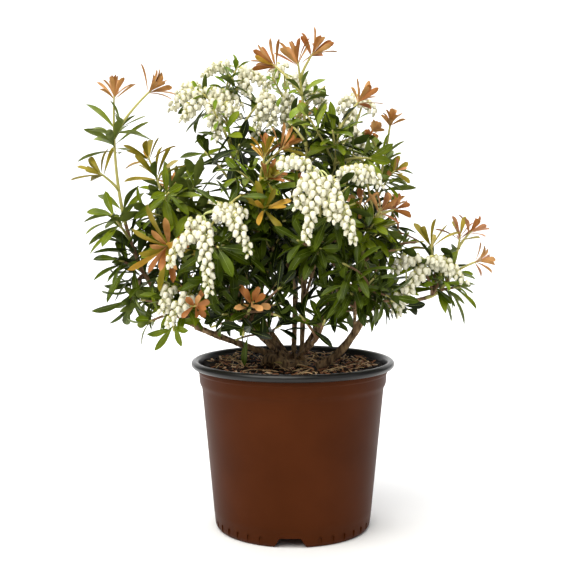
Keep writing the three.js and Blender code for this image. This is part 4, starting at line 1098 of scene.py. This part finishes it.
def bark_piece(curves):
    """One skin over the root crown and all the boughs, with the bark's ridges."""
    parts = crown_parts(curves)
    for name, (curve, root_radius, tip_radius) in curves.items():
        t = np.linspace(0, 1, 22)
        if name == "right_stem":
            curve = Curve(RIGHT_FOOT, curve.through + RIGHT_BEND, curve.end)
        slim = lerp(SLIMMER.get(name, SLIMMER["others"]), 1, t)
        wobble = slim * (1 + WOBBLE["share"]
                         * np.sin(t * WOBBLE["waves"] + root_radius * WOBBLE["shift"]))
        parts.append(tube(curve.at(t), lerp(root_radius, tip_radius, t) * wobble, LIMB_SIDES))
    bark = mesh_piece("bark", parts, "bark", ("root_crown", *curves))
    with_modifier(bark, "REMESH", mode="VOXEL", voxel_size=BARK_VOXEL * MM,
                  use_smooth_shade=True)
    skin = bark.data
    skin.materials.clear()
    skin.materials.append(MATERIALS["bark"])
    places, normals = np.empty((2, 3 * len(skin.vertices)))
    skin.vertices.foreach_get("co", places)
    skin.vertices.foreach_get("normal", normals)
    places, normals = places.reshape(-1, 3), normals.reshape(-1, 3)
    grain = places / MM * BARK_GRAIN
    ridges = np.array([noise.fractal(Vector(place), 1.0, 2.0, 3) for place in grain])
    places += normals * (ridges * BARK_RELIEF * MM)[:, None]
    places[:, 2] = np.maximum(places[:, 2], (SOIL_TOP + GAP) * MM)
    skin.vertices.foreach_set("co", places.ravel())
    skin.update()


# ---------------------------------------------------------------- the bells

BELL = {"spacing": 1.95, "lift": 0.8, "out": 3.7, "scale": (0.96, 1.24), "sides": 7,
        "first": 0.05, "smaller": 0.4, "droop": 0.12, "reach": (0.6, 1.1), "lean": 0.55,
        "stray": 0.25}
# A bell's section from its neck to its mouth: radius, and how far below the neck.
BELL_RINGS = ((0.9, 0), (2.3, 0.9), (3.05, 2.6), (2.9, 4.6), (2.1, 6.5), (1.75, 7.2), (2.15, 7.9),
              (1.1, 7.2))
# A calyx is a star: radius and depth at its points, and between them, round a tip.
SEPALS = {"count": 5, "points": (3.15, 1.7), "between": (1.6, 0.1), "lift": 0.25, "tip": 0.9}
STALK_RADII = {"raceme": (0.85, 0.4), "to_raceme": 0.95, "bell": 0.3}


class Blooms:
    """The racemes of all the sprays: their stalks, bells and calyxes, and places among the bells
    for the leaves to keep clear of."""

    def __init__(self):
        self.stalks, self.bells, self.calyxes, self.samples = [], [], [], []

    def hang(self, foot, down, scale, turn):
        across = sideways(down, turn)
        beside = np.cross(down, across)
        ring = rings_round(across, beside, BELL["sides"])
        points = np.concatenate([foot + down * (deep * scale) + ring * (radius * scale)
                                 for radius, deep in BELL_RINGS])
        self.bells.append((points, tube_faces(len(BELL_RINGS), BELL["sides"])))
        corners = 2 * SEPALS["count"]
        ring = rings_round(across, beside, corners)
        reach, deep = np.array([SEPALS["points"], SEPALS["between"]] * SEPALS["count"]).T * scale
        star = foot + ring * reach[:, None] + down * deep[:, None] - down * SEPALS["lift"]
        tip = foot - down * SEPALS["tip"]
        faces = [[k, (k + 1) % corners, corners] for k in range(corners)]
        self.calyxes.append((np.concatenate([star, tip[None]]), faces))

    def raceme(self, start, over, end, random):
        curve = Curve(start, over, end)
        length = np.linalg.norm(np.diff(curve.at(np.linspace(0, 1, 20)), axis=0), axis=1).sum()
        t = np.linspace(0, 1, 12)
        self.stalks.append(tube(curve.at(t), lerp(*STALK_RADII["raceme"], t), 6))
        self.samples.append(curve.at(np.linspace(0.05, 1, 14)) - UP * 5)
        count, turn = int(length / BELL["spacing"]), any_turn(random)
        for k in range(count + 1):
            t = min(1, BELL["first"] + (1 - BELL["first"]) * k / count)
            heading, place = curve.heading(t), curve.at(t)
            out = sideways(heading, turn + k * GOLDEN_ANGLE)
            scale = between(BELL["scale"], random) * (1 - BELL["smaller"] * t ** 3)
            out = unit(out - UP * BELL["droop"])
            foot = place + out * BELL["out"] * scale * between(BELL["reach"], random)
            foot = foot + UP * BELL["lift"] * scale
            astray = np.array([stray(random) for _ in range(3)])
            down = out * BELL["lean"] - UP + BELL["stray"] * astray
            self.hang(foot, unit(down), scale, next(random) * 6)
            stalk = Curve(place, place + out * BELL["out"] * 0.8, foot)
            radii = np.full(3, STALK_RADII["bell"])
            self.stalks.append(tube(stalk.at(np.array([0, 0.5, 1])), radii, 3, False))

    def stalk(self, foot, onwards, start):
        reach = np.linalg.norm(np.array(start, float) - foot)
        line = Curve(foot, foot + onwards * reach * SWEEP, start).at(np.linspace(0, 1, 7))
        self.stalks.append(tube(line, np.full(7, STALK_RADII["to_raceme"]), 6))

    def by_rule(self, shoot, random):
        foot, rule = shoot.curve.at(1.0), RULED_RACEME
        for k in range(shoot.count):
            bearing = math.radians(rule["bearings"][k] + stray(random, rule["spread"]))
            out = np.array((math.cos(bearing), math.sin(bearing), 0))
            over = foot + out * rule["reach"][k] * 0.8 + UP * rule["rise"]
            end = foot + out * rule["reach"][k] - UP * rule["drop"][k] * shoot.size
            self.raceme(foot, over, end, random)

    def on_spray(self, name, shoots, random):
        """The spray's racemes: those that are placed, each on the nearest tip, or else by rule."""
        tips = [shoot for shoot in shoots if shoot.ends == "bloom"]
        placed = [[seen_at(*place) for place in raceme] for raceme in RACEMES.get(name, ())]
        placed += BACK_RACEMES.get(name, ())
        if not placed:
            for shoot in tips:
                self.by_rule(shoot, random)
        for start, over, end in placed:
            nearest = min(tips, key=lambda shoot: np.linalg.norm(shoot.curve.end - np.array(start)))
            self.stalk(nearest.curve.end, nearest.curve.heading(1), start)
            self.raceme(start, over, end, random)


# ---------------------------------------------------------------- growing the plant

GREEN_STEM = {"high": 1.5, "low": 0.1, "from": 330}  # years of growth that are still green
LEAST_BROWN = 0.12  # a shoot with a smaller share of brown is green all along
STEM = {"step": 6, "brown_sides": 8, "green_sides": 7, "narrow_from": 0.97, "narrow": 0.8}
SUNK = {"leader": 2.0, "side": 0.5}  # how far a shoot's stem begins before its foot
FINER = {"on_leader": 4, "leader_share": (0.15, 0.85), "on_bough": 2, "bough_share": (0.6, 0.95),
         "reach": (26, 44), "up": (4, 24), "onwards": 10, "leaf_size": 0.86}
# Leaves that lie on the mix: tint, root, direction, length, width.
FALLEN = [("olive", (-24, -38, 192), (0.8, -0.3, 0.25), 13, 6.5),
          ("rust", (8, -30, 187), (0.9, -0.35, 0.1), 17, 6)]
FALLEN_FORM = (0.5, 0.3)  # their bend and fold
CLEAR_OF_BELLS = 4.5
# Over the pot's edge, from so far inside the collar to so far outside the rim, leaves stay so
# far above the rim.
CLEAR_OF_RIM = {"inside": 12, "outside": 14, "above": 3}
CLEAR_OF_MIX = 6
AT_ONCE = 64  # places among the bells that are measured together
IN_FRONT = {"beside": 0.0052, "within": 50, "kept": 0.12}
OPEN_BASE = {"reach": 95, "top": 228, "edge": 229, "kept": 0.14}  # under the crown, stems show
DROP_SEED = 77


def stem(shoot, green, brown, sunk):
    """A shoot's stem: green for its last years, brown below them."""
    years = GREEN_STEM["high" if shoot.curve.end[2] > GREEN_STEM["from"] else "low"]
    edge = 1 - (first_whorl(shoot) + years * YEAR) / shoot.span
    lengths = [(green, max(0, edge), 1, 5, STEM["green_sides"])]
    if edge > LEAST_BROWN:
        lengths.insert(0, (brown, 0, edge, 4, STEM["brown_sides"]))
    for k, (stems, start, end, fewest, sides) in enumerate(lengths):
        t = np.linspace(start, end, max(fewest, int((end - start) * shoot.span / STEM["step"])))
        line, radii = shoot.curve.at(t), shoot.radius(t)
        if stems is green:
            radii = radii * np.where(t < STEM["narrow_from"], 1, STEM["narrow"])
        if k == 0:
            line[0] -= shoot.curve.heading(0) * sunk
        stems.append(tube(line, radii, sides))


def sight(points):
    """Where points stand in the camera's sight: across and up, over the depth, and the depth."""
    away = points - np.array(CAMERA["place"], float)
    pitch = math.radians(CAMERA["pitch"])
    depth = away[..., 1] * math.cos(pitch) - away[..., 2] * math.sin(pitch)
    up = away[..., 1] * math.sin(pitch) + away[..., 2] * math.cos(pitch)
    return np.stack([away[..., 0] / depth, up / depth, depth], -1)


def chance(random, keep, share):
    """Which of the leaves stay when only a share of them does."""
    return np.array([next(random) for _ in keep]) < share


def keep_clear(leaves, bells, shown, random):
    """Drops the leaves that would run into the bells, the pot's rim or the mix, and most of those
    that would hide what stands outermost or the stems under the crown."""
    if not leaves.rows:
        return
    line = leaves.surfaces()[0][:, 2:]
    flat = line.reshape(-1, 3)
    near = np.full(len(flat), np.inf)
    for k in range(0, len(bells), AT_ONCE):
        apart = np.linalg.norm(flat[:, None] - bells[None, k:k + AT_ONCE], axis=2)
        near = np.minimum(near, apart.min(axis=1))
    # Leaves close before the bells or young growth are few, as both stand outermost.
    hidden, seen = np.zeros(len(line), bool), sight(line)
    for across, up, depth in sight(shown) if len(shown) else ():
        beside = np.hypot(seen[..., 0] - across, seen[..., 1] - up) < IN_FRONT["beside"]
        before = (seen[..., 2] < depth) & (seen[..., 2] > depth - IN_FRONT["within"])
        hidden |= (beside & before).any(axis=1)
    reach = np.hypot(flat[:, 0], flat[:, 1])
    at_rim = ((reach > COLLAR_RADIUS - CLEAR_OF_RIM["inside"])
              & (reach < RIM_RADIUS + CLEAR_OF_RIM["outside"]))
    low = np.where(at_rim, RIM_TOP + CLEAR_OF_RIM["above"], SOIL_TOP + CLEAR_OF_MIX)
    clear = (near > CLEAR_OF_BELLS) & (flat[:, 2] > low)
    keep = clear.reshape(line.shape[:2]).all(axis=1)
    keep &= ~hidden | chance(random, keep, IN_FRONT["kept"])
    lowest, reach = line[..., 2].min(axis=1), reach.reshape(line.shape[:2]).min(axis=1)
    under = lowest < np.where(reach < OPEN_BASE["reach"], OPEN_BASE["top"], OPEN_BASE["edge"])
    keep &= ~under | chance(random, keep, OPEN_BASE["kept"])
    leaves.rows = [row for row, kept in zip(leaves.rows, keep) if kept]


def grow_spray(name, spray, bough, stems, blooms):
    """Stems, leaves and bells of one spray."""
    random = seeded(spray["seed"] + LEAF_SEED)
    leader = skeleton(spray, bough)
    shoots = [leader, *leader.forks]
    green = spray.get("green", "mid")
    for k, shoot in enumerate(shoots):
        stem(shoot, *stems, SUNK["leader" if shoot is leader else "side"])
        own = spray.get("own", {}).get(k, {})
        if own.get("open"):
            shoot.ends = "open"
        tints = own.get("tints", "olive" if shoot.ends == "olive" else "copper").split()
        dress(shoot, random, green, tints, own.get("whorls"), own.get("size", 1.0),
              spray.get("leaf_size", 1.0))
    blooms.on_spray(name, shoots, random)
    finer = []
    if spray.get("finer", True):
        finer += fine_twigs(leader.curve, random, FINER["on_leader"], FINER["leader_share"])
        finer += fine_twigs(bough[0], random, FINER["on_bough"], FINER["bough_share"])
    for twig in finer:
        stem(twig, *stems, SUNK["side"])
        # Fine twigs on a spray with painted shade are dark too.
        dress(twig, random, "dark" if green == "dark" else "mid", (), size=FINER["leaf_size"])
    for tint, size, x, y, z, *ends in spray.get("fine", ()):
        tip = np.array((x, y, z), float)
        shoot = side_shoot(leader.curve, fork_place(leader.curve, tip), tip, TWIG_RADIUS, ends)
        stem(shoot, *stems, SUNK["side"])
        dress(shoot, random, tint, ("olive", "amber"), size=size, even=True)


def grow_plant():
    curves = bough_curves()
    bark_piece(curves)
    green, brown, blooms = [], [], Blooms()
    for name, spray in SPRAYS.items():
        grow_spray(name, spray, curves[spray.get("bough", f"{name}_bough")], (green, brown), blooms)
    sprays = tuple(f"{name}_spray" for name in SPRAYS)
    bells = np.concatenate(blooms.samples)
    shown = np.concatenate([bells, *(foliage[tint].middles() for tint in TINTED)])
    random = seeded(DROP_SEED)
    for tint, leaves in foliage.items():
        keep_clear(leaves, bells, shown if tint in GREENS else (), random)
    mesh_piece("green_stems", green, "green_stems", sprays)
    mesh_piece("brown_twigs", brown, "brown_twigs", sprays)
    for name, parts in (("raceme_stalks", blooms.stalks), ("bells", blooms.bells),
                        ("calyxes", blooms.calyxes)):
        mesh_piece(name, parts, name, sprays)
    for tint, root, along, length, width in FALLEN:
        foliage[tint].add(root, np.array(along), UP, length, width, *FALLEN_FORM)
    for tint, leaves in foliage.items():
        upper, lower = leaves.blades()
        if tint in GREENS:
            mesh_piece(f"{tint}_leaves", [upper], f"{tint}_leaf", sprays)
            below = "shaded_underside" if tint in GREENS[:2] else "leaf_underside"
            mesh_piece(f"{tint}_undersides", [lower], below, sprays)
            mesh_piece(f"{tint}_midribs", [leaves.midribs()], "midrib", sprays)
        else:
            mesh_piece(f"{tint}_leaves", [upper, lower], f"{tint}_leaf", sprays)


# ---------------------------------------------------------------- the stage

FLOOR = {"half": 3600, "wall": 3400, "bend": 900, "steps": 12, "top": 2600}
# Lights, in metres: place, what they aim at, width, watts and colour.
LIGHTS = {
    "key": ((-0.75, -1.35, 2.05), (0, 0, 0.3), 2.3, 66, (1, 0.98, 0.92)),
    "fill": ((1.7, -1.3, 1.2), (0, 0, 0.25), 2.0, 8, (0.96, 0.98, 1)),
    "top": ((-0.3, 0.1, 2.3), (0, 0, 0.3), 2.4, 42, (1, 1, 1)),
    "backdrop": ((0, 1.8, 2.6), (0, 3.4, 0.7), 2.6, 90, (1, 1, 1)),
}
DAYLIGHT = 0.2  # of the white world round the stage


def area_light(name, place, target, size, power, colour):
    light = bpy.data.lights.new(name, "AREA")
    light.size, light.energy, light.color = size, power, colour
    made = bpy.data.objects.new(name, light)
    made.location = place
    made.rotation_euler = (Vector(target) - Vector(place)).to_track_quat("-Z", "Y").to_euler()
    bpy.context.scene.collection.objects.link(made)


def stage():
    """A white floor that bends up into a wall behind, the lights and the camera."""
    half, wall, bend, steps = (FLOOR[key] for key in ("half", "wall", "bend", "steps"))
    section = [(-half, 0)]
    for k in range(steps + 1):
        turn = math.radians(90 * k / steps)
        section.append((wall - bend + bend * math.sin(turn), bend - bend * math.cos(turn)))
    section.append((wall, FLOOR["top"]))
    points = np.array([[(x, y, z) for x in (-half, half)] for y, z in section], float)
    floor = new_object("floor", [(points, grid_faces(len(section), 2, False))])
    floor.data.polygons.foreach_set("use_smooth", [True] * len(floor.data.polygons))
    floor.data.materials.append(surface("paper", (244, 244, 244), (250, 250, 250), 3, 0.9,
                                        specular=0.1))

    for name, settings in LIGHTS.items():
        area_light(name, *settings)
    world = bpy.data.worlds.new("studio")
    world.use_nodes = True
    background = world.node_tree.nodes["Background"]
    background.inputs["Color"].default_value = (1, 1, 1, 1)
    background.inputs["Strength"].default_value = DAYLIGHT
    scene = bpy.context.scene
    scene.world = world
    scene.view_settings.view_transform = "Standard"
    data = bpy.data.cameras.new("camera")
    data.lens, data.sensor_width = CAMERA["lens"], CAMERA["sensor"]
    camera = bpy.data.objects.new("camera", data)
    camera.location = Vector(CAMERA["place"]) * MM
    camera.rotation_euler = (math.radians(90 - CAMERA["pitch"]), 0, 0)
    scene.collection.objects.link(camera)
    scene.camera = camera


pot()
potting_mix()
grow_plant()
stage()
